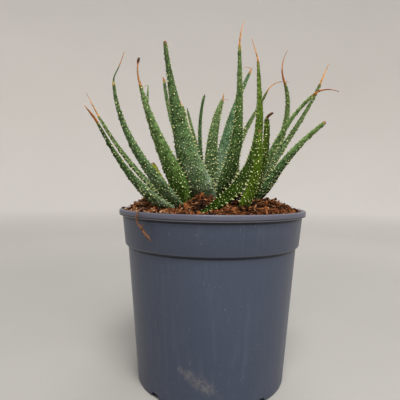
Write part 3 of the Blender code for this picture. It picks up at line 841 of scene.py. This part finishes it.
def hook():
    """A tooth: a broad sunk foot, a waist and a point that leans towards the tip"""
    ring = circle(TOOTH_SIDES)
    foot = ring + [0, 0, -0.3]
    waist = ring * [0.45, 0.6, 0] + [0.14, 0, 0.5]
    points = np.vstack([foot, waist, [[0.62, 0, 1.0]]])
    reach = np.repeat([0.0, 0.5, 1.0], [TOOTH_SIDES, TOOTH_SIDES, 1])
    return (points, peaked(2, TOOTH_SIDES)), reach


# %% Where the bumps stand
ROW_PITCH = 3.1 * MM
SPOT_PITCH = 2.7 * MM
SPOT_RADIUS = 0.55 * MM
SPOT_HEIGHT = 0.78 * MM
END_GAP = 1.5 * MM
# Leaves with a bare stripe along their upper half
BARE_STRIPES = ("front_leaf_1",)

# Leaves with fewer or smaller bumps than the others: share of their number and of their size
SPARSE = {
    "low_leaf_1": (0.66, 0.72), "left_leaf_4": (0.15, 0.7), "right_leaf_7": (0.6, 0.8),
    "middle_leaf_5": (0.7, 0.7), "middle_leaf_4": (0.7, 0.7), "middle_leaf_7": (0.85, 0.85),
}


def on_skin(leaf, s, across, lower):
    """Points of the skin, with the leaf's ways to the side, up and forward and its size there"""
    centre, side, up, forward = leaf.frame(s)
    width, thick = leaf.size(s)
    over = height(across, lower, thick, s)
    middle = centre + side * (across * width / 2)[:, None] + up * over[:, None]
    return middle, side, up, forward, width, thick


def spot_places(leaf, lower, crowd, random):
    """Shares along and across the leaf for the bumps of one face"""
    places = []
    along, row = END_GAP, 0
    while along < leaf.length - END_GAP:
        s = along / leaf.length
        width = float(leaf.size(s)[0])
        number = max(1, round(width * crowd * (1.3 if lower else 1.15) / SPOT_PITCH))
        for k in range(number):
            share = (k + 0.5 + 0.25 * (row % 2 * 2 - 1)) / number + random.normal(0, 0.24) / number
            across = math.sin((share - 0.5) * math.pi) if lower else share * 2 - 1
            shift = random.normal(0, 0.26) + 0.18 * math.sin(3 * across + row)
            places.append((s + shift * ROW_PITCH / leaf.length, across))
        along += ROW_PITCH * (1 - 0.12 * s)
        row += 1
    s, across = np.array(places).T
    kept = (np.abs(across) < (0.985 if lower else 0.91)) & (s > 0)
    return s[kept], across[kept]


def spots(shape, leaf, lower, random):
    """Add the bumps of one face of the leaf"""
    crowd, small = SPARSE.get(leaf.name, (1.0, 1.0))
    s, across = spot_places(leaf, lower, crowd, random)
    if leaf.name in BARE_STRIPES:
        keep = (np.abs(across - 0.1) > 0.18) | (s < 0.5)
        s, across = s[keep], across[keep]
    middle, side, up, forward, width, thick = on_skin(leaf, s, across, lower)
    step = 0.01
    slope = height(across + step, lower, thick, s) - height(across - step, lower, thick, s)
    slope = slope / (step * width)
    out = np.cross(forward, unit(side + up * slope[:, None])) * (-1 if lower else 1)
    radius = SPOT_RADIUS * np.clip(np.exp(random.normal(0, 0.32, len(s))), 0.5, 1.7) * (1 - 0.3 * s)
    radius = np.minimum(radius * small * np.minimum(1, 0.62 + 2.2 * s), width * 0.2)
    long = np.exp(random.normal(0.05, 0.28, len(s)))
    sizes = np.stack([radius * long, radius / long, radius / SPOT_RADIUS * SPOT_HEIGHT], -1)
    template, cream = dome()
    values = {"along": s[:, None], "across": across[:, None], "shade": tone(leaf)}
    values["cream"] = random.uniform(0.74, 1.28, len(s))[:, None] * cream
    shape.scatter(template, middle, (forward, np.cross(out, forward), out), sizes, **values)
    return len(s)


# %% Where the teeth stand
TOOTH_PITCH = 5.2 * MM
TOOTH_LENGTH = 3.2 * MM
TOOTH_HALF = 1.3 * MM
MARGIN = 0.97
MOST_TEETH = 80
FIRST_TOOTH = 3 * MM
LAST_TOOTH = 0.985


def teeth(shape, leaf, random):
    """Add the teeth of both margins"""
    total = 0
    template, reach = hook()
    for margin in (1, -1):
        gaps = TOOTH_PITCH * random.uniform(0.75, 1.25, MOST_TEETH)
        s = (FIRST_TOOTH + np.cumsum(gaps)) / leaf.length
        s = s[s < LAST_TOOTH]
        foot, side, up, forward, width, _ = on_skin(leaf, s, margin * MARGIN + 0 * s, False)
        small = (1 - 0.42 * s) * random.uniform(0.8, 1.15, len(s))
        out = unit(side * margin + up * 0.15)
        half = np.minimum(TOOTH_HALF * small, width * 0.35)
        sizes = np.stack([half, half * 0.7, TOOTH_LENGTH * small], -1)
        axes = (forward, np.cross(out, forward), out)
        shape.scatter(template, foot, axes, sizes, 1, along=s[:, None], shade=reach)
        total += len(s)
    return total


print("bump and tooth pitch", ROW_PITCH, TOOTH_PITCH)

# %% [markdown]
# ## Leaf finishes
#
# The skin is a ramp along the leaf: pale and bloomy at the root, green in the blade, and past the
# tip straw yellow, orange and brown. Streaks run lengthwise, because the noise is read in the
# leaf's own two directions and not in space. A waxy bloom lies on the lower part in patches. Some
# leaves are grey-green, some fresh and some dark, so a few kinds of skin share one function. The
# mottling is partly the leaf's own and partly painted shade: the noise that raises the relief also
# paints its hollows darker and its crests lighter, and a dark ring of painted shade lies round the
# foot of each bump. The dark lower part of one leaf and the dark tone of the leaf under it are
# painted shade as well.

# %% Kinds of skin
# Each kind: colour at the root, in the blade and near the tip, and how much bloom lies on it
KINDS = {
    "bloomy": ((0.21, 0.315, 0.175), (0.08, 0.142, 0.056), (0.056, 0.09, 0.036), 1.0),
    "grey": ((0.115, 0.175, 0.088), (0.058, 0.105, 0.041), (0.055, 0.09, 0.038), 0.5),
    "green": ((0.056, 0.098, 0.032), (0.072, 0.128, 0.043), (0.1, 0.152, 0.052), 0.25),
    "fresh": ((0.09, 0.15, 0.012), (0.056, 0.096, 0.006), (0.06, 0.1, 0.006), 0.0),
    "moss": ((0.07, 0.136, 0.012), (0.09, 0.158, 0.046), (0.112, 0.168, 0.072), 0.12),
    "deep": ((0.036, 0.07, 0.022), (0.054, 0.1, 0.028), (0.066, 0.102, 0.032), 0.06),
    "dusk": ((0.085, 0.16, 0.066), (0.04, 0.08, 0.028), (0.03, 0.054, 0.018), 0.15),
    "frosted": ((0.2, 0.275, 0.12), (0.06, 0.112, 0.04), (0.03, 0.054, 0.018), 0.9),
    "teal": ((0.105, 0.172, 0.098), (0.047, 0.104, 0.052), (0.045, 0.09, 0.042), 0.5),
    # Dark on its lower part: painted shade for a leaf whose underside lies in shade
    "shaded": ((0.026, 0.062, 0.026), (0.048, 0.098, 0.037), (0.1, 0.152, 0.052), 0.05),
    "night": ((0.012, 0.028, 0.008), (0.01, 0.028, 0.008), (0.014, 0.03, 0.008), 0.0),
    "sweep": ((0.009, 0.021, 0.0004), (0.014, 0.029, 0.0006), (0.062, 0.1, 0.013), 0.0),
    "olive": ((0.075, 0.112, 0.022), (0.105, 0.126, 0.009), (0.12, 0.12, 0.009), 0.0),
}

# Each end: where along the ramp, past a half, and the colour there
ENDS = {
    "straw": ((0.503, (0.24, 0.17, 0.045)), (0.535, (0.42, 0.18, 0.055)),
              (0.8, (0.42, 0.185, 0.06)), (1.0, (0.4, 0.2, 0.095))),
    "rust": ((0.497, (0.2, 0.12, 0.035)), (0.52, (0.4, 0.14, 0.036)),
             (0.8, (0.34, 0.115, 0.032)), (1.0, (0.28, 0.11, 0.045))),
    "brown": ((0.497, (0.15, 0.11, 0.03)), (0.515, (0.4, 0.19, 0.08)),
              (0.86, (0.34, 0.155, 0.062)), (0.92, (0.06, 0.026, 0.015))),
    "stale": ((0.49, (0.06, 0.08, 0.014)), (0.56, (0.085, 0.075, 0.024)),
              (0.72, (0.15, 0.08, 0.036)), (1.0, (0.11, 0.048, 0.026))),
    "cut": ((0.498, (0.12, 0.11, 0.03)), (0.51, (0.3, 0.12, 0.07)),
            (0.6, (0.22, 0.075, 0.045)), (1.0, (0.1, 0.04, 0.025))),
    "kinked": ((0.497, (0.36, 0.26, 0.11)), (0.525, (0.06, 0.095, 0.03)),
               (0.74, (0.065, 0.1, 0.03)), (0.8, (0.42, 0.185, 0.06))),
    "dark": ((0.52, (0.05, 0.08, 0.025)), (0.7, (0.04, 0.06, 0.02)),
             (0.85, (0.04, 0.05, 0.02)), (1.0, (0.06, 0.045, 0.02))),
}


def skin_finish(kind, end):
    root, blade, tip, bloom = KINDS[kind]
    gloss = 0.04 if kind == "sweep" else 0.1
    leaf = Finish(f"{kind}_skin_{end}_end", {"IOR": 1.38, "Specular IOR Level": gloss})
    along, across, shade, cream = map(leaf.stored, ("along", "across", "shade", "cream"))
    grain = leaf.node("ShaderNodeCombineXYZ", {}, {"X": across * 3.5, "Y": along * 2.2})
    streaks = leaf.cloud(2.4, 4.0, 0.6, grain)
    mottle, pebble = leaf.cloud(110.0, 4.0, 0.6), leaf.cloud(420.0, 3.0, 0.6)
    blotch, fine = leaf.cloud(190.0, 2.0, 0.5), leaf.cloud(900.0, 2.0)
    ragged = along * 0.5 + (leaf.cloud(420.0, 2.0) - 0.5) * 0.025
    middle = tuple((a + b) / 2 for a, b in zip(root, blade))
    stops = ((0.0, root), (0.07, middle), (0.2, blade), (0.42, tip), (0.485, tip))
    colour = leaf.ramp(ragged, *stops, *ENDS[end])
    light = leaf.blend(1.0, colour, (1.75, 1.8, 1.65), "MULTIPLY")
    dark = leaf.blend(1.0, colour, (0.2, 0.25, 0.17), "MULTIPLY")
    # Partly the leaf's own patches, partly painted shade: the pebble noise that raises the relief
    # paints its hollows darker and its crests lighter
    patches_and_hollow_shade = pebble.between(0.4, 0.6) * 0.46 + blotch.between(0.4, 0.6) * 0.32
    colour = leaf.blend(patches_and_hollow_shade + mottle * 0.16 + streaks * 0.12, dark, light)
    dried = along.between(0.99, 1.04)
    colour = leaf.blend(1 - dried, colour, shade, "MULTIPLY")
    wax = mottle.between(0.38, 0.66) * (1 - along.between(0.0, 0.62)) * bloom
    # Painted shade: a dark ring round the foot of each bump
    bump_foot_shade = cream.between(0.0, 0.08) * (1 - cream.between(0.12, 0.4)) * 0.55
    pale = leaf.blend(cream.between(0.6, 1.2), (0.3, 0.37, 0.12), (0.84, 0.84, 0.44))
    waxed = (wax, (0.215, 0.28, 0.205)), (bump_foot_shade, (0.018, 0.03, 0.009))
    colour = leaf.layered(colour, *waxed, (cream.between(0.52, 0.78), pale))
    rough = 0.45 + fine * 0.14 + wax * 0.25 + dried * 0.2
    relief = pebble * 1.2 + streaks * 0.5 + fine * 0.2 + dried * streaks
    return leaf.show(colour, rough, (relief, 0.7, 0.5 * MM))


# %% Teeth in pale yellow
def tooth_finish():
    tooth = Finish("toothed_margin", {"IOR": 1.42})
    grain = tooth.cloud(1200.0, 2.0)
    colour = tooth.ramp(
        tooth.stored("shade") + (grain - 0.5) * 0.2,
        (0.0, (0.075, 0.11, 0.032)), (0.3, (0.26, 0.31, 0.12)), (0.75, (0.66, 0.6, 0.3)),
        (1.0, (0.5, 0.26, 0.1)),
    )
    return tooth.show(colour, 0.45 + grain * 0.2, (grain, 0.2, 0.1 * MM))


# %% Which leaf has which skin
# Each leaf: its kind, its end and how light it is. The leaves that aren't named are plain
SKINS = {
    "left_leaf_1": ("frosted", "rust", 0.85), "left_leaf_2": ("green", "straw", 0.57),
    "left_leaf_3": ("grey", "kinked", 1.0), "left_leaf_4": ("olive", "cut", 1.0),
    "left_leaf_5": ("moss", "brown", 1.0), "middle_leaf_1": ("bloomy", "cut", 1.0),
    "middle_leaf_2": ("dusk", "rust", 1.0), "middle_leaf_3": ("green", "rust", 0.66),
    "middle_leaf_4": ("green", "dark", 0.68), "middle_leaf_5": ("night", "dark", 1.4),
    "middle_leaf_6": ("green", "straw", 0.56), "middle_leaf_7": ("teal", "rust", 0.92),
    "middle_leaf_8": ("deep", "straw", 0.9), "right_leaf_1": ("green", "straw", 0.56),
    "right_leaf_2": ("fresh", "stale", 0.55), "right_leaf_3": ("green", "rust", 0.68),
    "right_leaf_4": ("green", "rust", 1.22), "right_leaf_5": ("green", "straw", 0.48),
    # right_leaf_6's dark lower part and right_leaf_7's low lightness are painted shade: both lie in
    # shade under the others
    "right_leaf_6": ("shaded", "cut", 1.2), "right_leaf_7": ("night", "cut", 0.36),
    "front_leaf_1": ("fresh", "cut", 0.84), "front_leaf_2": ("moss", "straw", 0.6),
    "low_leaf_1": ("sweep", "straw", 0.85),
}
PLAIN = ("green", "straw", 0.85)
finishes = {}


def skin_for(leaf):
    kind, end, _ = SKINS.get(leaf.name, PLAIN)
    if (kind, end) not in finishes:
        finishes[kind, end] = skin_finish(kind, end)
    return finishes[kind, end]


TEETH = tooth_finish()
print("kinds of skin", len(KINDS))


# %% [markdown]
# ## Loose ends
#
# Some leaves have split or dried so that a thread or a torn sliver stands off the blade. These
# are thin bent tubes that belong to the leaf's own piece, with its own skin on them. They start
# inside the blade, so that they grow out of it and aren't stuck on.

# %% Loose ends
# For some leaves: the share where each starts and its start aside, its end, the rise of its
# middle and its half thickness, all in millimetres, and its place on the ramp of the skin
LOOSE = {
    "middle_leaf_6": ((0.97, (0, 0, 0), (8.0, 0, 1.8), 2.0, 0.5, 1.7),),
    "middle_leaf_7": ((1.0, (1, 0, 4), (-11, 0, 3.5), 2.0, 0.4, 1.5),),
    "left_leaf_5": ((0.88, (2.4, -1, 0), (3.0, -1, 14.5), 0.0, 1.25, 0.7),
                    (0.88, (3.2, -1, 14.0), (-1.0, -1, 12.5), 1.2, 0.32, 1.3)),
}
LOOSE_STEPS = 13
LOOSE_SIDES = 6


def loose_ends(shape, leaf):
    """Thin slivers and threads that stand off a leaf"""
    for start, beside, end, lift, half, along in LOOSE.get(leaf.name, ()):
        centre = leaf.frame([start])[0][0]
        first, last = centre + np.array(beside) * MM, centre + np.array(end) * MM
        t = np.linspace(0, 1, LOOSE_STEPS)[:, None]
        line = first + (last - first) * t + np.array([0, 0, 4 * lift * MM]) * t * (1 - t)
        forward = unit(np.gradient(line, axis=0))
        side = unit(np.cross(forward, [0.0, 1.0, 0.0]))
        turns = full_turn(LOOSE_SIDES)
        ring = swept(0 * line, side, np.cross(side, forward), np.cos(turns), np.sin(turns))
        points = line[:, None, :] + (half * (1 - 0.65 * t) * MM)[..., None] * ring
        shape.add(points, tube(LOOSE_STEPS, LOOSE_SIDES), along=along, shade=tone(leaf))


# %% Every leaf
def make_leaf(leaf, seed):
    random = np.random.default_rng(seed)
    shape = Shape()
    skin(shape, leaf)
    total = spots(shape, leaf, True, random) + spots(shape, leaf, False, random)
    total += teeth(shape, leaf, random)
    loose_ends(shape, leaf)
    shape.piece([skin_for(leaf), TEETH], leaf.name)
    return total


bumps = sum(make_leaf(leaf, 100 + seed) for seed, leaf in enumerate(leaves))
print("bumps and teeth", bumps)

# %% [markdown]
# ## The stems
#
# Each rosette grows from a short stem that is mostly under the soil. Old leaves leave rings of
# scars on it, so its dome is not smooth: ridges run round it, tilted and broken. The dome is a
# grid of points on a sphere, pushed out by two waves and a noise.

# %% Stems
STEM_DEPTH = 16 * MM
STEM_AROUND = 56
STEM_RINGS = 26


def stem_finish():
    stem = Finish("scarred_stem", {"IOR": 1.4})
    grain = stem.cloud(330.0, 5.0, 0.65)
    colour = stem.ramp(
        stem.stored("shade") * 0.6 + grain * 0.4,
        (0.0, (0.03, 0.016, 0.008)), (0.45, (0.085, 0.055, 0.02)), (0.8, (0.115, 0.12, 0.04)),
    )
    return stem.show(colour, 0.6 + grain * 0.3, (grain, 0.6, 0.5 * MM))


def make_stem(name, finish):
    """A foot under the soil, then rings up a dome from well below its middle to its top"""
    x, y, z, radius = (value * MM for value in STEMS[name])
    centre, turns, wide = np.array([x, y, z]), full_turn(STEM_AROUND), radius * 0.82
    points = [centre + [wide * math.cos(t), wide * math.sin(t), -STEM_DEPTH] for t in turns]
    shade = [0.2] * STEM_AROUND
    for k in range(STEM_RINGS + 1):
        rise = math.radians(-35 + 124.5 * k / STEM_RINGS)
        level, high = math.cos(rise), math.sin(rise)
        for turn in turns:
            way = Vector((math.cos(turn) * level, math.sin(turn) * level, high))
            rough = noise.noise(way * 5 + Vector(centre) * 90)
            scar = math.sin(rise * 17 + 1.3 * math.sin(turn * 2 + x * 300) + rough * 2)
            points.append(centre + np.array(way) * (radius * (0.965 + 0.022 * scar + 0.02 * rough)))
            shade.append(0.5 + 0.35 * scar + 0.3 * rough)
    shape = Shape()
    shape.add(np.array(points), tube(STEM_RINGS + 2, STEM_AROUND), shade=shade)
    shape.piece([finish], name + "_stem")


scarred = stem_finish()
for stem_name in STEMS:
    make_stem(stem_name, scarred)
print("stems", len(STEMS))

# %% [markdown]
# ## The soil
#
# The mix in the pot is dark peat with crumbs, root fibres and a few pale chips. Its ground is a
# round grid with the same heaps as the solid and finer and finer noise on them. Noise alone looks
# like cloth, though. What makes it soil is loose matter: thousands of angular crumbs, pressed a
# little way into the ground, and fibres that lie across them. Most crumbs are splinters of only
# eight triangles: at their size more would not be seen, and the piece stays light.

# %% Ground
SOIL_GAP = 0.4 * MM
SOIL_LEVEL = 169.7 * MM
SOIL_AROUND = 240
SOIL_RINGS = 96
SOIL_EDGE = BAND_TOP_RADIUS - WALL - SOIL_GAP - 0.4 * MM

# Heaps of the soil and round the stems: x, y, rise and spread in millimetres
HEAPS = (
    (-68, 6, 11.5, 11), (-13, -22, 12.5, 11), (4, -14, 7, 12), (55, -18, 9.5, 11),
    (70, -10, 3.5, 13), (46, -54, 4, 12), (-52, 42, 6, 16), (2, 70, 8, 15), (62, 42, 3, 15),
    (-26, -58, 1.5, 9), (41, -11, 5, 9), (12, -53, 3.5, 9),
    (-26, -46, 1.0, 5), (-12, -52, -2.5, 7), (22, -43, 4.0, 8), (26, -12, 9.0, 7),
)


def heaps(x, y):
    """Height of the ground without its grain"""
    z = SOIL_LEVEL + 0 * x
    for hx, hy, rise, spread in HEAPS:
        away = np.hypot(x - hx * MM, y - hy * MM) / (spread * MM)
        z = z + rise * MM * np.exp(-0.5 * away**2)
    return z - 1 * MM * (np.hypot(x, y) / (88 * MM)) ** 6


def roofs():
    """Discs the ground stays under: x, y, reach and height along the low part of each leaf"""
    s = np.linspace(0.03, 0.7, 26)
    found = []
    for leaf in leaves:
        centre, side, up, _ = leaf.frame(s)
        width, thick = leaf.size(s)
        droop = np.abs(side[:, 2]) * width / 2 + np.abs(up[:, 2]) * thick * 0.6
        low = np.maximum(centre[:, 2] - droop + 0.8 * MM, SOIL_LEVEL - 2.5 * MM)
        found.append(np.stack([centre[:, 0], centre[:, 1], width / 2 + 3 * MM, low], -1))
    found = np.concatenate(found)
    return found[found[:, 3] < SOIL_LEVEL + 30 * MM]


ROOFS = roofs()


def ground(x, y):
    """Height of the ground at many points"""
    z = heaps(x, y)
    for cx, cy, reach, low in ROOFS:
        near = np.hypot(x - cx, y - cy) < reach
        z = np.where(near, np.minimum(z, low), z)
    return z


def grain(x, y):
    """Small rough height of the ground at one point, in metres"""
    spot = Vector((x, y, 0.0))
    rough = 2.2 * noise.noise(spot * 140) + 1.8 * noise.noise(spot * 330 + Vector((3, 1, 0)))
    return (rough + 0.45 * abs(noise.noise(spot * 900))) * MM


def ground_points():
    """Rings of points: the fill's underside and sides, then its top with the grain on it"""
    turns = full_turn(SOIL_AROUND)
    inner = SOIL_EDGE * np.linspace(1, 0.004, SOIL_RINGS)
    x, y = inner[:, None] * np.cos(turns), inner[:, None] * np.sin(turns)
    top = np.stack([x, y, ground(x, y)], -1)
    for point in top[2:].reshape(-1, 3):
        point[2] += grain(point[0], point[1])
    foot, low = BODY_FOOT_RADIUS, FLOOR + SOIL_GAP
    sides = ((0.3 * MM, low), (foot - 5.2 * MM, low), (foot - 2.2 * MM, FLOOR + 3.4 * MM),
             (BODY_TOP_RADIUS - WALL - SOIL_GAP, BAND - 0.4 * MM),
             (BAND_FOOT_RADIUS - WALL - SOIL_GAP, BAND + 1.4 * MM))
    below = np.array([[(r * math.cos(t), r * math.sin(t), h) for t in turns] for r, h in sides])
    return np.concatenate([below, top])


# %% Crumbs, fibres and chips
CRUMBS = 8000
FIBRES = 2600
FIBRE_STEPS = 4
CHIPS = 160
# Stems whose middle lies higher than this, in millimetres, stand out of the soil
STANDING = 166
# Different crumbs and fibres, of which all the others are copies
LUMPS = 5
THREADS = 6
SPLINTER = {"segments": 3, "radius1": 1.05, "radius2": 0.75, "depth": 1.7}


def lump(seed):
    """An angular crumb with its corners moved: a splinter of eight triangles or a lump of twenty"""
    ball = bmesh.new()
    splinter = 0 < seed < LUMPS
    if splinter:
        bmesh.ops.create_cone(ball, cap_ends=True, **SPLINTER)
    else:
        bmesh.ops.create_icosphere(ball, subdivisions=1, radius=1.0)
    points = np.array([corner.co for corner in ball.verts])
    points = points[:, [2, 0, 1]] if splinter else points
    points *= np.random.default_rng(seed).uniform(0.65, 1.2, (len(points), 1))
    faces = [[corner.index for corner in face.verts] for face in ball.faces]
    ball.free()
    return points, faces


def thread(seed):
    """A bent fibre along X, one unit long: its line, and three points round each step of it"""
    random = np.random.default_rng(seed)
    x = np.linspace(-0.5, 0.5, FIBRE_STEPS)
    bend = random.uniform(-0.5, 0.5) * (x**2 - 0.1) + random.uniform(-0.6, 0.6) * x**3
    thick = 1 - (2 * np.abs(x)) ** 3 * 0.6
    return np.stack([x, bend, 0 * x], -1), circle(3)[:, [2, 0, 1]] * thick[:, None, None]


def scattered(number, random):
    """Places on the ground, away from the stems that stand out of it"""
    radius = SOIL_EDGE * np.sqrt(random.uniform(0, 1, number)) * 0.985
    turn = random.uniform(0, 2 * math.pi, number)
    x, y = radius * np.cos(turn), radius * np.sin(turn)
    clear = np.full(number, True)
    for cx, cy, cz, crown in STEMS.values():
        if cz > STANDING:
            clear &= np.hypot(x - cx * MM, y - cy * MM) > (crown * 0.72) * MM
    return x[clear], y[clear]


def turned_axes(number, random, tilt):
    """Axes that lie level at a drawn bearing, tilted by a little"""
    turn = random.uniform(0, 2 * math.pi, number)
    rise = random.normal(0, tilt, number)
    first, level = heading(turn, rise), aside(turn)
    return first, level, np.cross(first, level)


def add_crumbs(shape, number, least, most, sink, random, shades):
    """Crumbs between two sizes, most of them small"""
    for kind in range(LUMPS):
        x, y = scattered(number // LUMPS, random)
        size = least * (most / least) ** (random.uniform(0, 1, len(x)) ** 2.2)
        sizes = size[:, None] * random.uniform(0.4, 1.2, (len(x), 3)) * [2.0, 0.65, 0.6]
        rough = np.array([grain(a, b) for a, b in zip(x, y)])
        centre = np.stack([x, y, ground(x, y) + rough + size * sink], -1)
        axes = turned_axes(len(x), random, 0.9)
        shade = random.choice(shades, len(x)) + random.normal(0, 0.05, len(x))
        shape.scatter(lump(kind), centre, axes, sizes, shade=shade[:, None])


def add_fibres(shape, number, random):
    for kind in range(THREADS):
        line, ring = thread(kind)
        x, y = scattered(number // THREADS, random)
        length = random.uniform(3, 11, (len(x), 1)) * MM
        thick = random.uniform(0.16, 0.42, (len(x), 1)) * MM
        centre = np.stack([x, y, ground(x, y) + random.uniform(0.6, 2.4, len(x)) * MM], -1)
        axes = turned_axes(len(x), random, 0.16)
        along = placed(line, centre, axes, np.repeat(length, 3, axis=1))
        beside = placed(ring.reshape(-1, 3), 0 * centre, axes, np.repeat(thick, 3, axis=1))
        points = along[:, :, None] + beside.reshape(len(x), -1, 3, 3)
        each = FIBRE_STEPS * 3
        shade = np.repeat(random.uniform(0.45, 0.95, len(x)), each)
        shape.add(points, copied(tube(FIBRE_STEPS, 3), each, len(x)), shade=shade)


# How light the crumbs are, most of them dark
SHADES = (0.0, 0.08, 0.16, 0.26, 0.38, 0.5, 0.62, 0.72)

# Bits that the photograph shows: x, y, height over the ground, size and shade, in millimetres
BITS = (
    (-46, -60, 2.4, 2.6, 1.0), (20, -50, 1.0, 1.8, 0.82), (24, -51, 1.5, 2.4, 0.8),
    (28, -49, 1.0, 2.0, 0.84), (-84, -16, 2.0, 2.2, 0.0), (-81, -22, 1.5, 1.6, 1.0),
    (-78, -30, 1.0, 1.4, 0.9), (-13, -30, 1.5, 1.6, 0.55), (-42, -40, 1.0, 1.7, 0.7),
    (-89, -14, 3.6, 2.6, 0.0), (-92, -10, 3.4, 1.8, 0.05), (-87, -20, 3.2, 1.5, 0.95),
    (66, -38, 1.0, 1.5, 0.85), (52, -26, 1.5, 1.4, 0.75),
    (24, -14, 4.5, 5.0, 0.3), (29, -9, 5.5, 4.5, 0.35), (21, -6, 6.0, 4.5, 0.25),
)


# %% Soil finish
def soil_finish():
    soil = Finish("peat_mix", {"IOR": 1.35, "Specular IOR Level": 0.15})
    broad, fine = soil.cloud(60.0, 4.0), soil.cloud(1100.0, 4.0, 0.7)
    # The mound at the left is painted paler: painted light that lifts its shadows
    lit_left_mound = 1 - soil.axis("X").between(-60 * MM, -44 * MM)
    colour = soil.ramp(
        soil.stored("shade") + (fine - 0.5) * 0.6 + (broad - 0.5) * 0.2 + lit_left_mound * 0.13 - 0.03,
        (0.0, (0.006, 0.003, 0.002)), (0.3, (0.03, 0.01, 0.003)), (0.55, (0.13, 0.04, 0.012)),
        (0.72, (0.19, 0.062, 0.02)), (0.84, (0.31, 0.12, 0.038)), (1.0, (0.52, 0.35, 0.2)),
    )
    return soil.show(colour, 0.78 + fine * 0.2, (fine, 0.9, 0.5 * MM))


def make_soil():
    random = np.random.default_rng(5)
    shape = Shape()
    points = ground_points()
    # The ground between the crumbs is near black: partly the dark peat, partly painted shade in the
    # gaps
    shape.add(points, tube(len(points), SOIL_AROUND), shade=0.08)
    add_crumbs(shape, CRUMBS, 0.35 * MM, 3.0 * MM, 0.3, random, SHADES)
    add_crumbs(shape, CHIPS, 0.9 * MM, 3.0 * MM, 0.7, random, (0.8, 0.88, 0.95))
    add_fibres(shape, FIBRES, random)
    for x, y, lift, size, shade in BITS:
        axes = turned_axes(1, random, 0.4)
        sizes = np.array([[1.3, 0.8, 0.6]]) * size * MM
        centre = np.array([[x * MM, y * MM, float(ground(x * MM, y * MM)) + lift * MM]])
        shape.scatter(lump(int(size * 10)), centre, axes, sizes, shade=shade)
    return shape.piece([soil_finish()], "soil")


soil = make_soil()
print("soil faces", len(soil.data.polygons))

# %% [markdown]
# ## The withered leaf
#
# One dead leaf hangs over the rim. It has dried to a twisted ribbon: orange-brown with a dark
# core, thin above and wider below, pointed at its end, with a torn scrap beside it. A tube would
# look like a worm, so its outline is a flattened one that twists, and its edges are ragged by a
# noise.

# %% Withered leaf
# x, y, z and half thickness in millimetres
STRAND = (
    (-61.5, -46.0, 172.6, 0.7), (-63.3, -57.0, 174.7, 0.8), (-64.8, -64.0, 174.0, 0.9),
    (-65.7, -68.4, 173.0, 0.8), (-66.5, -70.9, 170.4, 0.8), (-66.9, -71.4, 167.2, 0.9),
    (-66.5, -71.0, 164.1, 0.9), (-65.2, -71.2, 161.2, 1.0), (-62.7, -72.6, 159.0, 1.2),
    (-59.7, -74.3, 155.3, 1.4), (-56.7, -75.8, 151.6, 1.3), (-53.6, -77.6, 148.2, 0.5),
)
# A scrap that has torn away from its edge and curls upwards
CURL = (
    (-62.6, -73.6, 157.8, 0.5), (-61.5, -75.2, 158.2, 0.5), (-60.7, -75.9, 159.9, 0.4),
    (-61.1, -75.5, 161.9, 0.3),
)
STRAND_AROUND = 12


def withered_finish():
    dead = Finish("withered_leaf", {"IOR": 1.4})
    fine = dead.cloud(800.0, 4.0, 0.7)
    colour = dead.ramp(
        dead.stored("across") * 0.34 + fine * 0.85 + dead.stored("shade") * 0.12 - 0.22,
        (0.0, (0.016, 0.008, 0.005)), (0.4, (0.075, 0.03, 0.014)), (0.7, (0.17, 0.07, 0.03)),
        (1.0, (0.3, 0.15, 0.07)),
    )
    return dead.show(colour, 0.55 + fine * 0.3, (fine, 0.8, 0.3 * MM))


def dry_ribbon(shape, rows, steps):
    """A flat tube that twists as it runs along the smoothed rows, with ragged edges"""
    knots = np.array(rows)
    gaps = np.linalg.norm(np.diff(knots[:, :3], axis=0), axis=1)
    travel = np.concatenate([[0], np.cumsum(gaps)])
    t = np.linspace(0, travel[-1], steps)
    line = read_off(t, travel, knots)
    for _ in range(6):
        line[1:-1] = (line[:-2] + 2 * line[1:-1] + line[2:]) / 4
    centre, half = line[:, :3] * MM, line[:, 3] * MM
    forward = unit(np.gradient(centre, axis=0))
    side = unit(np.cross(forward, [0.3, -1.0, 0.5]))
    side, up = rolled(side, np.cross(side, forward), 0.6 * np.sin(t / 5) + 0.4 * np.sin(t / 2.3))
    turns = full_turn(STRAND_AROUND)
    rags = [[1 + 0.9 * noise.noise(Vector((a * 1.1, b * 1.6, 4))) for b in turns] for a in t]
    out = np.cos(turns) * 1.05 * rags * half[:, None]
    over = np.sin(turns) * 0.6 * rags * half[:, None]
    across = np.tile(np.abs(np.cos(turns)), steps)
    shade = np.repeat(t / t[-1], STRAND_AROUND)
    points = swept(centre, side, up, out, over)
    shape.add(points, tube(steps, STRAND_AROUND), across=across, shade=shade)


withered = Shape()
dry_ribbon(withered, STRAND, 110)
dry_ribbon(withered, CURL, 24)
withered.piece([withered_finish()], "withered_leaf")
print("withered leaf faces", len(withered.faces))
